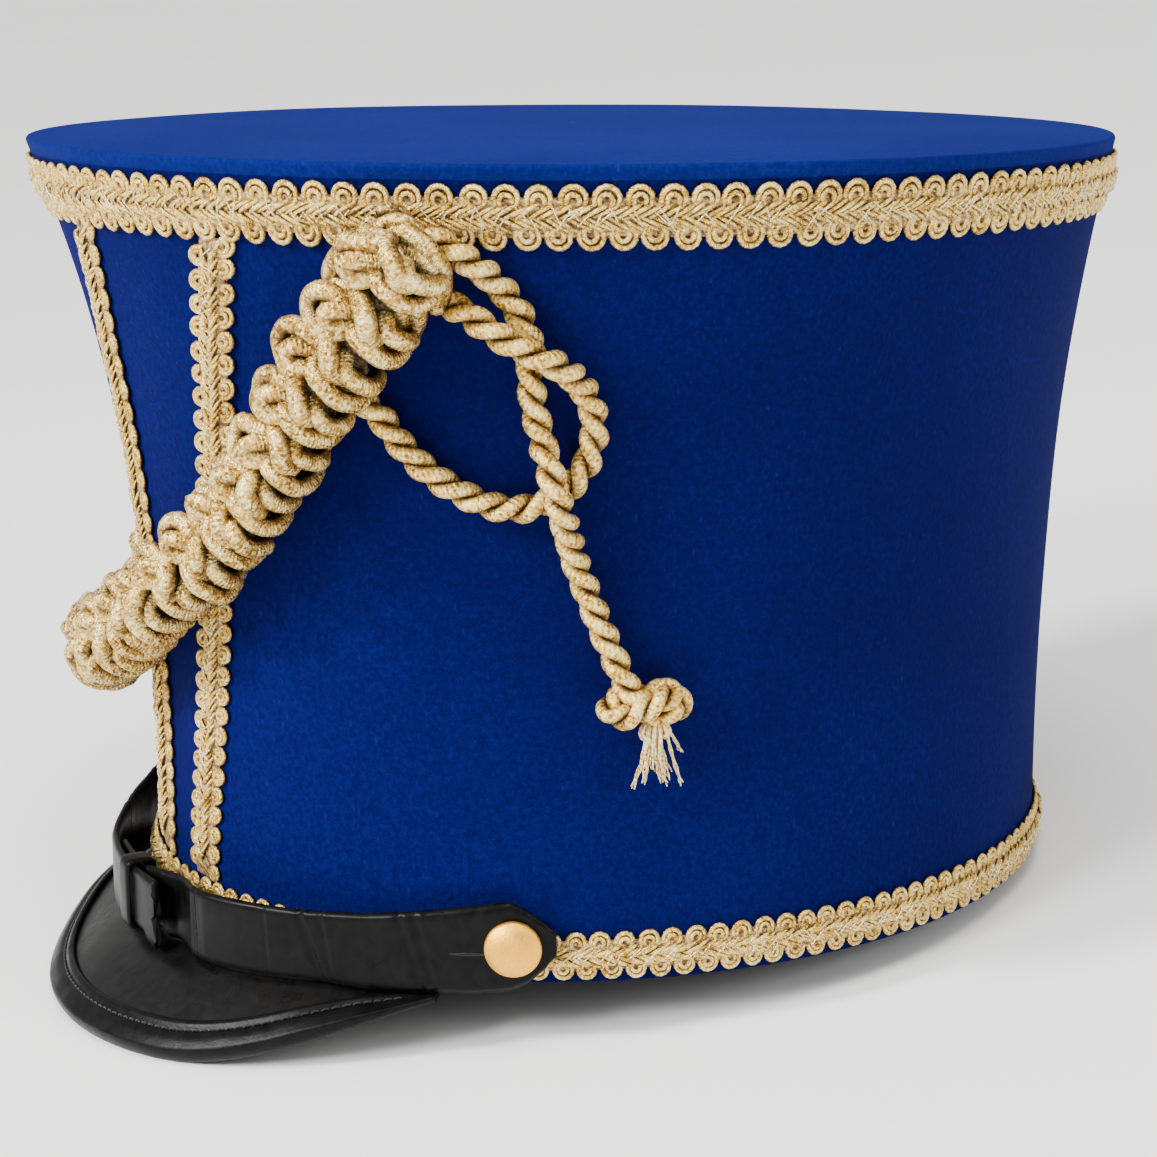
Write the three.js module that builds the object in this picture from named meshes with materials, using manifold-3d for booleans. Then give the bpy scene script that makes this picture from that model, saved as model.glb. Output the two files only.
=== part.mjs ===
// Parade shako: a flared velvet crown with a patent leather visor and chin
// strap, gold gimp braid, a plaited cord swag and a loose twisted cord.
// Millimetres, +Z up. Front is -Y, the wearer's left is +X. The hat stands on
// the front of its visor and the back of its rim, so its front is lifted.
import * as THREE from 'three';
import Module from 'manifold-3d';
import { mergeVertices } from 'three/addons/utils/BufferGeometryUtils.js';

const wasm = await Module();
wasm.setup();

const gap = 0.3;

// Crown. Lengths run front to back, widths side to side.
const rimLength = 206;
const rimWidth = 181.4;
const topLength = 233.6;
const topWidth = 229;
const crownHeight = 161.6;
const topForward = 8;
const wall = 2.2;
const edgeHeight = 4.5;
const flareSquare = 0.6;
const flareCube = 0.6;
const crownSides = 64;

// Gimp braid: the wide one runs round the top and down the front, the narrow
// one round the rim.
const gimpTopWidth = 12.3;
const gimpTopDrop = 4.7;
const gimpRimWidth = 10;
const gimpRimLift = 0.5;
const gimpFrontWidth = 11.6;
const gimpEdge = 1.0;
const gimpRib = 2.0;

// Visor. Its edge lies on the standing plane over the middle of its arc.
const visorArc = 50;
const visorCut = 41.5;
const visorReach = 27.6;
const visorFlatArc = 12.4;
const visorDropSlope = 0.0759;
const visorPlate = 1.6;
const visorBulge = 2.2;
const bindingWidth = 6.4;
const bindingLeather = 0.9;

// Chin strap, its keeper and the two buttons.
const strapLeather = 1.6;
const strapWidth = 18.4;
const keeperLeather = 0.8;
const keeperWidth = 5.5;
const keeperAt = -3;
const buttonDiameter = 11.3;
const buttonHeight = 3.4;
const buttonAt = 50.2;
const buttonLevel = 8.7;

// Plaited swag and the loose cord with its knot and frayed end.
const swagWidth = 17;
const swagDepth = 15;
const swagPitch = 11.5;
const swagLobe = 0.09;
const swagSides = 10;
const cordDiameter = 5.6;
const knotLength = 18;
const knotHeight = 9.2;
const knotDepth = 9.6;
const frayLength = 12.5;
const frayAside = 2.2;
const frayLocks = 7;

const rad = THREE.MathUtils.degToRad;

// Crown section at height z: half sizes and how far it is shifted forward.
function section(z) {
  const u = z / crownHeight;
  const s = (1 - flareSquare - flareCube) * u + flareSquare * u * u + flareCube * u ** 3;
  return {
    a: rimLength / 2 + ((topLength - rimLength) / 2) * s,
    b: rimWidth / 2 + ((topWidth - rimWidth) / 2) * s,
    shift: topForward * s,
  };
}

// Point at angle deg from the front (+ to the wearer's left), height z, and
// out millimetres outside the crown's face.
function onCrown(deg, z, out = 0) {
  const { a, b, shift } = section(z);
  const t = rad(deg);
  return new THREE.Vector3((b + out) * Math.sin(t), -(shift + (a + out) * Math.cos(t)), z);
}

function outward(deg, z) {
  const { a, b } = section(z);
  const t = rad(deg);
  return new THREE.Vector3(Math.sin(t) / b, -Math.cos(t) / a, 0).normalize();
}

// Value of a table with named columns at key, straight between its rows.
function lookUp(rows, key, column, at) {
  let i = 0;
  while (i < rows.length - 2 && at > rows[i + 1][key]) i += 1;
  const [p, q] = [rows[i], rows[i + 1]];
  const f = THREE.MathUtils.clamp((at - p[key]) / (q[key] - p[key]), 0, 1);
  return p[column] + (q[column] - p[column]) * f;
}

function steps(from, to, count) {
  return Array.from({ length: count + 1 }, (_, i) => from + ((to - from) * i) / count);
}

// Closed solid through rings of points. loop joins the last ring to the
// first; otherwise each end gets a flat cap.
function loft(rings, loop = false) {
  const n = rings[0].length;
  const points = rings.flat();
  const faces = [];
  const count = loop ? rings.length : rings.length - 1;
  for (let k = 0; k < count; k += 1) {
    const a = k * n;
    const b = ((k + 1) % rings.length) * n;
    for (let i = 0; i < n; i += 1) {
      const j = (i + 1) % n;
      faces.push([a + i, b + i, b + j], [a + i, b + j, a + j]);
    }
  }
  if (!loop) {
    const last = (rings.length - 1) * n;
    for (const [ring, base, turn] of [[rings[0], 0, false], [rings.at(-1), last, true]]) {
      for (const f of capFaces(ring)) {
        faces.push(f.map((v) => v + base)[turn ? 'reverse' : 'slice']());
      }
    }
  }
  return solid(points, faces);
}

function capFaces(ring) {
  const normal = new THREE.Vector3();
  ring.forEach((p, i) => normal.add(p.clone().cross(ring[(i + 1) % ring.length])));
  normal.normalize();
  const u = ring[1].clone().sub(ring[0]).projectOnPlane(normal).normalize();
  const v = normal.clone().cross(u);
  return THREE.ShapeUtils.triangulateShape(ring.map((p) => new THREE.Vector2(p.dot(u), p.dot(v))), []);
}

// Surface turned round the crown's axis. Each profile row gives a point for
// an angle; with an axis, its first and last rows are single points.
function turned(rows, sides, axis = null) {
  const points = [];
  const faces = [];
  const n = rows.length;
  for (let k = 0; k < sides; k += 1) {
    const deg = (360 * (k + 0.5)) / sides;
    for (const row of rows) points.push(row(deg));
  }
  const count = axis ? n - 1 : n;
  for (let k = 0; k < sides; k += 1) {
    const a = k * n;
    const b = ((k + 1) % sides) * n;
    for (let i = 0; i < count; i += 1) {
      const j = (i + 1) % n;
      faces.push([a + i, b + i, b + j], [a + i, b + j, a + j]);
    }
    if (axis) {
      faces.push([sides * n, b, a], [sides * n + 1, a + n - 1, b + n - 1]);
    }
  }
  if (axis) points.push(...axis);
  return solid(points, faces);
}

// Geometry from points and triangles, turned the right way out.
function solid(points, faces) {
  let volume = 0;
  for (const [a, b, c] of faces) {
    volume += points[a].dot(points[b].clone().cross(points[c]));
  }
  const index = faces.flatMap((f) => (volume < 0 ? [f[0], f[2], f[1]] : f));
  const geometry = new THREE.BufferGeometry();
  geometry.setAttribute('position', new THREE.Float32BufferAttribute(points.flatMap((p) => p.toArray()), 3));
  geometry.setIndex(index);
  geometry.computeVertexNormals();
  return geometry;
}

function toManifold(geometry) {
  const plain = geometry.clone();
  plain.deleteAttribute('normal');
  plain.deleteAttribute('uv');
  const merged = mergeVertices(plain, 1e-4);
  return new wasm.Manifold(new wasm.Mesh({
    numProp: 3,
    vertProperties: new Float32Array(merged.attributes.position.array),
    triVerts: new Uint32Array(merged.index.array),
  }));
}

function fromManifold(body) {
  const mesh = body.getMesh();
  const geometry = new THREE.BufferGeometry();
  geometry.setAttribute('position', new THREE.BufferAttribute(Float32Array.from(mesh.vertProperties), 3));
  geometry.setIndex(new THREE.BufferAttribute(Uint32Array.from(mesh.triVerts), 1));
  geometry.computeVertexNormals();
  return geometry;
}

// Crown: the felt side wall, and the top with its rounded edge.
const wallTop = crownHeight - edgeHeight;
const wallShares = [0, 0.2, 0.4, 0.55, 0.7, 0.8, 0.9, 1];

function crownWall() {
  const levels = wallShares.map((s) => s * wallTop);
  return turned([
    ...levels.map((z) => (deg) => onCrown(deg, z)),
    ...levels.toReversed().map((z) => (deg) => onCrown(deg, z, -wall)),
  ], crownSides);
}

function crownTop() {
  const low = wallTop + gap;
  const round = crownHeight - low;
  const outside = [
    { inset: 0, level: 0 },
    { inset: 0.12, level: 0.5 },
    { inset: 0.45, level: 0.86 },
    { inset: 1, level: 1 },
  ];
  const rows = [
    ...outside.map((r) => (deg) => onCrown(deg, low + round * r.level, -round * r.inset)),
  ].toReversed();
  rows.push((deg) => onCrown(deg, low, -wall));
  rows.push((deg) => onCrown(deg, crownHeight - wall, -round - 0.4 * wall));
  const middle = (z) => new THREE.Vector3(0, -section(z).shift, z);
  return turned(rows, crownSides, [middle(crownHeight), middle(crownHeight - wall)]);
}

// Gimp round the crown between two heights, thickest along its middle rib.
const gimpProfile = [
  { level: 0, out: 0 },
  { level: 0.04, out: gimpEdge },
  { level: 0.5, out: gimpRib },
  { level: 0.96, out: gimpEdge },
  { level: 1, out: 0 },
  { level: 0.5, out: 0 },
];

function gimpRing(low, width) {
  return turned(gimpProfile.map((p) => (deg) => onCrown(deg, low + width * p.level, gap + p.out)), crownSides);
}

const gimpTopLow = crownHeight - gimpTopDrop - gimpTopWidth;
const gimpRimHigh = gimpRimLift + gimpRimWidth;

// Front strips: angle from the front at shares of the height between the
// two gimp rings. Both lean to the wearer's left towards the top.
const stripLeft = [
  { share: 0, deg: 4.0 },
  { share: 0.1, deg: 4.9 },
  { share: 0.46, deg: 10.7 },
  { share: 0.65, deg: 14.2 },
  { share: 0.85, deg: 18.0 },
  { share: 1, deg: 21.6 },
];
const stripRight = [
  { share: 0, deg: -9.0 },
  { share: 0.28, deg: -8.1 },
  { share: 0.56, deg: -7.2 },
  { share: 0.8, deg: -5.7 },
  { share: 0.9, deg: -3.8 },
  { share: 1, deg: -1.7 },
];

function gimpStrip(rows) {
  const low = gimpRimHigh + gap;
  const high = gimpTopLow - gap;
  return loft(steps(0, 1, 22).map((share) => {
    const z = low + (high - low) * share;
    const deg = lookUp(rows, 'share', 'deg', share);
    const across = THREE.MathUtils.radToDeg(gimpFrontWidth / section(z).b);
    return gimpProfile.map((p) => onCrown(deg + across * (p.level - 0.5), z, gap + p.out));
  }));
}

// Visor section at angle deg, in a plane through the outward direction: how
// far out and how high its edge is, and the point and normal at share u.
const visorRoot = -gap - visorPlate / 2;

function visorEdge(deg) {
  const t = Math.abs(deg) / visorArc;
  const reach = visorReach * (1 - t ** 1.93) ** 1.34;
  const root = onCrown(deg, 0);
  const edge = root.clone().addScaledVector(outward(deg, 0), reach);
  const plane = (edge.y - rimLength / 2) * visorDropSlope;
  const fade = Math.max(0, (Math.abs(deg) - visorFlatArc) / (visorArc - visorFlatArc));
  return { reach, drop: (plane - visorRoot) * (1 - fade ** 2) ** 2.48 };
}

function visorProfile(deg, u, lift) {
  const { reach, drop } = visorEdge(deg);
  const normal = new THREE.Vector2(-drop, reach).normalize();
  const bulge = visorBulge * (reach / visorReach) * 4 * u * (1 - u);
  return new THREE.Vector2(reach * u, drop * u).addScaledVector(normal, bulge + lift);
}

function visorAt(deg, u, lift) {
  const p = visorProfile(deg, u, lift);
  return onCrown(deg, 0).addScaledVector(outward(deg, 0), p.x).setZ(visorRoot + p.y);
}

const bindingInner = visorPlate / 2 + gap;
const bindingOuter = bindingInner + bindingLeather;

function bindingSpan(deg) {
  return bindingWidth * Math.min(1, visorEdge(deg).reach / 12) ** 0.7;
}

// Highest point of the visor and its binding between two distances from the
// crown, from which the strap keeps clear.
function visorFace(deg, from, to) {
  if (Math.abs(deg) > visorCut + 4) return -Infinity;
  const at = Math.min(Math.abs(deg), visorCut);
  const { reach } = visorEdge(at);
  let top = -Infinity;
  for (const u of steps(0, 1, 24)) {
    const bound = reach * (1 - u) < bindingSpan(at) + 1;
    const p = visorProfile(at, u, bound ? bindingOuter : visorPlate / 2);
    if (p.x > from - 1 && p.x < to + 1) top = Math.max(top, visorRoot + p.y);
  }
  return top;
}

const bindingSlot = bindingLeather + gap;

function visorBody() {
  return loft(steps(-visorCut, visorCut, 44).map((deg) => {
    const end = 1 - (bindingSlot + gap) / visorEdge(deg).reach;
    const shares = [0.25, 0.5, 0.75, 1].map((s) => s * end);
    const flange = (z) => onCrown(deg, 0, 0).addScaledVector(outward(deg, 0), -wall + gap).setZ(z);
    const half = visorPlate / 2;
    return [
      flange(visorRoot + half),
      ...shares.map((u) => visorAt(deg, u, half)),
      ...shares.toReversed().map((u) => visorAt(deg, u, -half)),
      flange(visorRoot - half),
    ];
  }));
}

function visorBinding() {
  return loft(steps(-visorCut, visorCut, 44).map((deg) => {
    const width = bindingSpan(deg);
    const at = (inset, lift) => visorAt(deg, 1 - inset / visorEdge(deg).reach, lift);
    return [
      at(width, bindingInner), at(width, bindingOuter), at(0.9, bindingOuter), at(0, 0.35 * bindingOuter),
      at(0, -0.35 * bindingOuter), at(0.9, -bindingOuter), at(width, -bindingOuter), at(width, -bindingInner),
      at(bindingSlot, -bindingInner), at(bindingSlot, bindingInner),
    ];
  }));
}

// Chin strap halves. deg runs from each button round the front; out is the
// strap's middle outside the crown, level its middle height as a share of the
// strap's width, and wide its width as a share. The left half passes behind
// the right half's end.
const strapSeat = gap + gimpRib + gap + strapLeather / 2;
const strapLeft = [
  { deg: -12, out: 8.6, level: 0.26, wide: 0.78 },
  { deg: -1, out: 8.6, level: 0.26, wide: 0.79 },
  { deg: 2, out: 7.4, level: 0.26, wide: 0.8 },
  { deg: 4.5, out: 6.4, level: 0.26, wide: 0.81 },
  { deg: 6.5, out: 6.8, level: 0.26, wide: 0.82 },
  { deg: 9, out: 8.3, level: 0.26, wide: 0.83 },
  { deg: 12, out: 8.8, level: 0.26, wide: 0.83 },
  { deg: 24, out: 6.5, level: 0.266, wide: 0.87 },
  { deg: 34, out: 5.0, level: 0.315, wide: 0.9 },
  { deg: 43, out: 4.0, level: 0.391, wide: 0.97 },
  { deg: 50, out: strapSeat, level: 0.473, wide: 1 },
  { deg: 52, out: strapSeat, level: 0.467, wide: 0.8 },
  { deg: 54, out: strapSeat, level: 0.489, wide: 0.48 },
  { deg: 55, out: strapSeat, level: 0.505, wide: 0.24 },
];
const strapRight = [
  { deg: -55, out: strapSeat, level: 0.505, wide: 0.24 },
  { deg: -54, out: strapSeat, level: 0.489, wide: 0.48 },
  { deg: -52, out: strapSeat, level: 0.467, wide: 0.8 },
  { deg: -50, out: strapSeat, level: 0.473, wide: 1 },
  { deg: -43, out: 4.2, level: 0.391, wide: 0.97 },
  { deg: -34, out: 5.4, level: 0.315, wide: 0.9 },
  { deg: -25, out: 7.2, level: 0.28, wide: 0.87 },
  { deg: -15, out: 10.0, level: 0.26, wide: 0.83 },
  { deg: -6, out: 11.2, level: 0.25, wide: 0.82 },
  { deg: 0, out: 11.6, level: 0.25, wide: 0.82 },
  { deg: 4.5, out: 12.0, level: 0.25, wide: 0.82 },
];

// Inner faces of the keeper's two upright legs, and the height its lower leg
// leaves to the straps above the visor.
const keeperSlack = 1.5 * gap;
const keeperInside = lookUp(strapLeft, 'deg', 'out', keeperAt) - strapLeather / 2 - keeperSlack;
const keeperOutside = lookUp(strapRight, 'deg', 'out', keeperAt) + strapLeather / 2 + keeperSlack;
const keeperFloor = visorFace(keeperAt, keeperInside - keeperLeather, keeperOutside + keeperLeather)
  + 2 * gap + keeperLeather;

function strapSection(rows, deg) {
  const out = lookUp(rows, 'deg', 'out', deg);
  const middle = strapWidth * lookUp(rows, 'deg', 'level', deg);
  const half = (strapWidth * lookUp(rows, 'deg', 'wide', deg)) / 2;
  const inside = out - strapLeather / 2;
  const floor = Math.max(
    visorFace(deg, inside, inside + strapLeather) + gap,
    Math.abs(deg - keeperAt) < 5 ? keeperFloor + gap : -Infinity);
  return { inside, outside: inside + strapLeather, low: Math.max(middle - half, floor), high: middle + half };
}

function strapHalf(rows) {
  const from = rows[0].deg;
  const to = rows.at(-1).deg;
  const stops = [...new Set([...steps(from, to, 18), ...rows.map((r) => r.deg)])].sort((p, q) => p - q);
  return loft(stops.filter((d, i) => i === 0 || d - stops[i - 1] > 0.6 || d === to).map((deg) => {
    const s = strapSection(rows, deg);
    return [
      onCrown(deg, 0, s.inside).setZ(s.low), onCrown(deg, 0, s.outside).setZ(s.low),
      onCrown(deg, 0, s.outside).setZ(s.high), onCrown(deg, 0, s.inside).setZ(s.high),
    ];
  }));
}

// Keeper: a leather loop round both halves of the strap.
function strapKeeper() {
  const high = Math.max(...[strapLeft, strapRight].map((rows) => strapSection(rows, keeperAt).high)) + gap;
  const box = { inside: keeperInside, outside: keeperOutside, low: keeperFloor, high };
  const middle = onCrown(keeperAt, 0);
  const out = outward(keeperAt, 0);
  const side = new THREE.Vector3(0, 0, 1).cross(out);
  const corner = (grow, x, z) => [
    x > 0 ? box.outside + grow : box.inside - grow,
    z > 0 ? box.high + grow : box.low - grow,
  ];
  const point = ([o, z], s) => middle.clone().addScaledVector(out, o).addScaledVector(side, s).setZ(z);
  return loft([[-1, -1], [1, -1], [1, 1], [-1, 1]].map(([x, z]) => {
    const half = keeperWidth / 2;
    return [
      point(corner(0, x, z), -half), point(corner(keeperLeather, x, z), -half),
      point(corner(keeperLeather, x, z), half), point(corner(0, x, z), half),
    ];
  }), true);
}

// Domed button on the strap's end.
function button(side) {
  const r = buttonDiameter / 2;
  const profile = [[0, 0], [0.9, 0], [1, 0.18], [1, 0.4], [0.9, 0.68], [0.6, 0.9], [0.3, 0.98], [0, 1]]
    .map(([x, y]) => new THREE.Vector2(x * r, y * buttonHeight));
  const geometry = new THREE.LatheGeometry(profile, 20);
  const deg = side * buttonAt;
  const turn = new THREE.Quaternion().setFromUnitVectors(new THREE.Vector3(0, 1, 0), outward(deg, 0));
  geometry.applyQuaternion(turn);
  const seat = strapSeat + strapLeather / 2 + gap;
  const at = onCrown(deg, 0).addScaledVector(outward(deg, 0), seat).setZ(buttonLevel);
  geometry.translate(at.x, at.y, at.z);
  return geometry;
}

// Plaited swag: angle, height and how far its middle is out from the crown,
// both as shares (of the crown's height, and of the swag's depth), and its
// width as a share. It crosses the front strips and ends on the top gimp.
const swagRows = [
  { deg: 44.4, height: 0.917, out: 0.76, wide: 1.0 },
  { deg: 43.0, height: 0.886, out: 0.69, wide: 1.08 },
  { deg: 41.6, height: 0.862, out: 0.65, wide: 1.1 },
  { deg: 40.1, height: 0.838, out: 0.6, wide: 1.08 },
  { deg: 36.4, height: 0.783, out: 0.56, wide: 1.06 },
  { deg: 31.7, height: 0.712, out: 0.53, wide: 1.0 },
  { deg: 28.2, height: 0.656, out: 0.53, wide: 0.92 },
  { deg: 25.3, height: 0.614, out: 0.55, wide: 0.9 },
  { deg: 20.2, height: 0.551, out: 0.62, wide: 0.92 },
  { deg: 13.8, height: 0.493, out: 0.69, wide: 0.9 },
  { deg: 5.9, height: 0.433, out: 0.7, wide: 0.93 },
  { deg: -2, height: 0.385, out: 0.7, wide: 0.95 },
  { deg: -10, height: 0.35, out: 0.7, wide: 0.95 },
  { deg: -14, height: 0.335, out: 0.63, wide: 0.95 },
  { deg: -19, height: 0.322, out: 0.55, wide: 0.95 },
  { deg: -26, height: 0.31, out: 0.53, wide: 0.95 },
  { deg: -33, height: 0.312, out: 0.53, wide: 0.95 },
  { deg: -40, height: 0.32, out: 0.53, wide: 0.95 },
  { deg: -46, height: 0.37, out: 0.53, wide: 0.95 },
  { deg: -51, height: 0.465, out: 0.53, wide: 0.95 },
  { deg: -55, height: 0.575, out: 0.53, wide: 0.97 },
  { deg: -58.5, height: 0.69, out: 0.53, wide: 1.0 },
  { deg: -61.5, height: 0.79, out: 0.56, wide: 1.06 },
  { deg: -64, height: 0.86, out: 0.67, wide: 1.08 },
  { deg: -65.5, height: 0.917, out: 0.76, wide: 1.0 },
];

function swagWide(path, share) {
  const at = path.getUtoTmapping(share) * (swagRows.length - 1);
  const k = Math.min(Math.floor(at), swagRows.length - 2);
  return THREE.MathUtils.lerp(swagRows[k].wide, swagRows[k + 1].wide, at - k);
}

function swag() {
  const path = new THREE.CatmullRomCurve3(
    swagRows.map((r) => onCrown(r.deg, r.height * crownHeight, r.out * swagDepth)), false, 'centripetal');
  const length = path.getLength();
  const count = Math.round(length / (swagPitch / 4));
  const rings = [];
  for (let k = 0; k <= count; k += 1) {
    const at = path.getPointAt(k / count);
    const along = path.getTangentAt(k / count);
    const middle = new THREE.Vector3(0, -section(at.z).shift, at.z);
    const out = at.clone().sub(middle).projectOnPlane(along).normalize();
    const across = along.clone().cross(out);
    const s = (k / count) * length;
    const end = Math.min(s, length - s) / (0.45 * swagWidth);
    const close = end < 1 ? 0.45 + 0.55 * Math.sqrt(1 - (1 - end) ** 2) : 1;
    const wide = close * swagWide(path, k / count);
    rings.push(steps(0, 360, swagSides).slice(0, -1).map((deg) => {
      const c = Math.cos(rad(deg));
      const lobe = 1 + swagLobe * Math.sign(c) * Math.cos((2 * Math.PI * s) / swagPitch) * Math.abs(c);
      return at.clone()
        .addScaledVector(across, (wide * lobe * swagWidth * c) / 2)
        .addScaledVector(out, (close * swagDepth * Math.sin(rad(deg))) / 2);
    }));
  }
  return loft(rings);
}

// Loose cord: the loop leaves the swag and comes back to it, and the tail
// hangs to the knot. The tail passes under the loop at the top and over it
// lower down. Angle, height and distance out from the crown of each point.
const loopRoute = [
  [45.8, 136.1, 5.4], [48.1, 134.3, 7.4], [49.9, 132, 9.2], [51.6, 129.7, 10], [53.4, 127.6, 10.1],
  [55.3, 125.7, 9.6], [57, 123.2, 7.8], [58.4, 119.7, 4.6], [59.3, 115.3, 3.5], [59.4, 110.6, 3.4],
  [58.8, 105.9, 3.4], [57.6, 102, 3.4], [55.9, 99, 3.4], [53.6, 96.9, 3.4], [50.9, 96.2, 3.4],
  [48.2, 97.3, 3.4], [45.6, 99.6, 3.4], [42.9, 102.9, 3.4], [41, 106.4, 3.4], [39.5, 110, 3.5],
  [38.6, 113, 3.9],
];
const tailRoute = [
  [48.3, 144.4, 7.4], [49.7, 142, 5.9], [51.1, 138.8, 4], [52.3, 135.4, 3.4], [53.2, 131.5, 3.4],
  [53.6, 127.3, 3.4], [53.6, 123, 3.4], [53.6, 118.6, 3.4], [53.9, 114.1, 3.7], [54.4, 110, 5.4],
  [55, 106, 8.7], [55.6, 101.8, 10.2], [56.2, 96.5, 9.4], [56.8, 90.7, 6.2], [57.6, 84.4, 3.7],
  [58.8, 78.3, 3.4], [59.8, 73, 3.4], [61, 67.9, 3.7], [61.8, 64, 4.6],
];

function cord(route) {
  const path = new THREE.CatmullRomCurve3(route.map(([deg, z, out]) => onCrown(deg, z, out)), false, 'centripetal');
  const round = new THREE.Shape();
  for (let k = 0; k < 8; k += 1) {
    const t = rad(45 * k);
    const at = [Math.cos(t) * (cordDiameter / 2), Math.sin(t) * (cordDiameter / 2)];
    if (k === 0) round.moveTo(...at);
    else round.lineTo(...at);
  }
  round.closePath();
  const count = Math.round(path.getLength() / cordDiameter);
  return new THREE.ExtrudeGeometry(round, { steps: count, extrudePath: path, bevelEnabled: false });
}

// Knot below the tail's end, and the frayed end under it.
const knotAt = { deg: 64.2, z: 57.6 };

function knotPlace(geometry, dz, aside) {
  const out = outward(knotAt.deg, knotAt.z);
  const side = new THREE.Vector3(0, 0, 1).cross(out);
  const basis = new THREE.Matrix4().makeBasis(out, side, new THREE.Vector3(0, 0, 1));
  const at = onCrown(knotAt.deg, knotAt.z, gap + knotDepth / 2).addScaledVector(side, aside);
  geometry.applyMatrix4(basis.setPosition(at.x, at.y, at.z + dz));
  return geometry;
}

function knot() {
  const geometry = new THREE.SphereGeometry(0.5, 14, 9);
  geometry.scale(knotDepth, knotLength, knotHeight);
  return knotPlace(geometry, 0, 0);
}

function fray() {
  const top = frayLength * 0.25;
  const head = new THREE.CylinderGeometry(2.2, 2.8, top, 8);
  head.rotateX(Math.PI / 2).translate(0, 0, -top / 2);
  let body = toManifold(head);
  for (let k = 0; k < frayLocks; k += 1) {
    const t = rad((360 * k) / (frayLocks - 1));
    const spread = k < frayLocks - 1 ? 1 : 0;
    const long = frayLength * (0.9 + 0.1 * Math.cos(2.3 * k)) - top * 0.4;
    const lock = new THREE.CylinderGeometry(spread ? 0.85 : 1.5, 0.5, long, 5);
    lock.rotateX(Math.PI / 2).translate(0, 0, -long / 2);
    lock.applyMatrix4(new THREE.Matrix4().set(
      1, 0, -0.1 * spread * Math.cos(t), 1.7 * spread * Math.cos(t),
      0, 1, -0.2 * spread * Math.sin(t), 2.0 * spread * Math.sin(t),
      0, 0, 1, -top * 0.4,
      0, 0, 0, 1));
    body = body.add(toManifold(lock));
  }
  return knotPlace(fromManifold(body), -knotHeight / 2 - gap, frayAside);
}

const velvet = { color: 0x0d2470, roughness: 0.95, metalness: 0 };
const gold = { color: 0xc9aa78, roughness: 0.45, metalness: 0.6 };
const brass = { color: 0xd7b070, roughness: 0.35, metalness: 0.9 };
const patent = { color: 0x151515, roughness: 0.2, metalness: 0 };

const pieces = {
  crown_wall: [crownWall(), velvet],
  crown_top: [crownTop(), velvet],
  gimp_top: [gimpRing(gimpTopLow, gimpTopWidth), gold],
  gimp_rim: [gimpRing(gimpRimLift, gimpRimWidth), gold],
  gimp_front_left: [gimpStrip(stripLeft), gold],
  gimp_front_right: [gimpStrip(stripRight), gold],
  visor: [visorBody(), patent],
  visor_binding: [visorBinding(), patent],
  chin_strap_left: [strapHalf(strapLeft), patent],
  chin_strap_right: [strapHalf(strapRight), patent],
  strap_keeper: [strapKeeper(), patent],
  button_left: [button(1), brass],
  button_right: [button(-1), brass],
  cord_swag: [swag(), gold],
  cord_loop: [cord(loopRoute), gold],
  cord_tail: [cord(tailRoute), gold],
  cord_knot: [knot(), gold],
  cord_fray: [fray(), gold],
};

// Lowest height of the pieces' points once the hat leans back by lean.
function lowest(lean, keep) {
  let low = Infinity;
  for (const [geometry] of Object.values(pieces)) {
    const p = geometry.attributes.position;
    for (let i = 0; i < p.count; i += 1) {
      if (keep(p.getY(i))) low = Math.min(low, p.getZ(i) * Math.cos(lean) - p.getY(i) * Math.sin(lean));
    }
  }
  return low;
}

// The lean at which the visor in front and the rim behind touch one plane.
let [flat, steep] = [0, rad(25)];
for (let i = 0; i < 50; i += 1) {
  const lean = (flat + steep) / 2;
  if (lowest(lean, (y) => y < 0) < lowest(lean, (y) => y > 0)) flat = lean;
  else steep = lean;
}
const lean = (flat + steep) / 2;

const standing = new THREE.Group();
for (const [name, [geometry, look]] of Object.entries(pieces)) {
  const mesh = new THREE.Mesh(geometry, new THREE.MeshStandardMaterial(look));
  mesh.name = name;
  standing.add(mesh);
}
standing.rotation.x = -lean;
standing.updateMatrixWorld(true);
const bounds = new THREE.Box3().setFromObject(standing, true);
standing.position.set(0, -(bounds.min.y + bounds.max.y) / 2, -bounds.min.z);

const shako = new THREE.Group();
shako.add(standing);

export default shako;
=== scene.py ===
"""Blue shako with gold trim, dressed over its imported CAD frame."""

import math

import bpy
import numpy as np
from mathutils import Matrix


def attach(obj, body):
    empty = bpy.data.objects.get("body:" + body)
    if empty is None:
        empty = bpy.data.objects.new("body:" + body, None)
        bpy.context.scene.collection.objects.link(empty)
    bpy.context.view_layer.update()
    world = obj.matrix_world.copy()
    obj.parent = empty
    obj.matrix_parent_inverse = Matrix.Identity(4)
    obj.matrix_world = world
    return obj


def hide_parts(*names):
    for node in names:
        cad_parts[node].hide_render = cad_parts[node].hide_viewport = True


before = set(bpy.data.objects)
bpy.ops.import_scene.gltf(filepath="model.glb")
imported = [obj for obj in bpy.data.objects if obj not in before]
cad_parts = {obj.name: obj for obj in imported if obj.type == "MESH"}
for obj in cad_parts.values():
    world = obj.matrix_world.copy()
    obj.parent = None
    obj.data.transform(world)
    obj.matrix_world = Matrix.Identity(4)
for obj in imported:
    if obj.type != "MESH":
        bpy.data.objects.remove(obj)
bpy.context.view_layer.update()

# The CAD source's own sizes, in millimetres, in the hat's upright axes:
# +X the wearer's left, -Y the front, Z from the rim's plane.
LEAN = math.radians(4.605440783715489)
STAND_Y = 5.116894036836285
STAND_Z = 8.260276540027089
GAP = 0.3
RIM_LENGTH, RIM_WIDTH = 206.0, 181.4
TOP_LENGTH, TOP_WIDTH = 233.6, 229.0
CROWN_HEIGHT = 161.6
TOP_FORWARD = 8.0
WALL = 2.2
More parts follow.
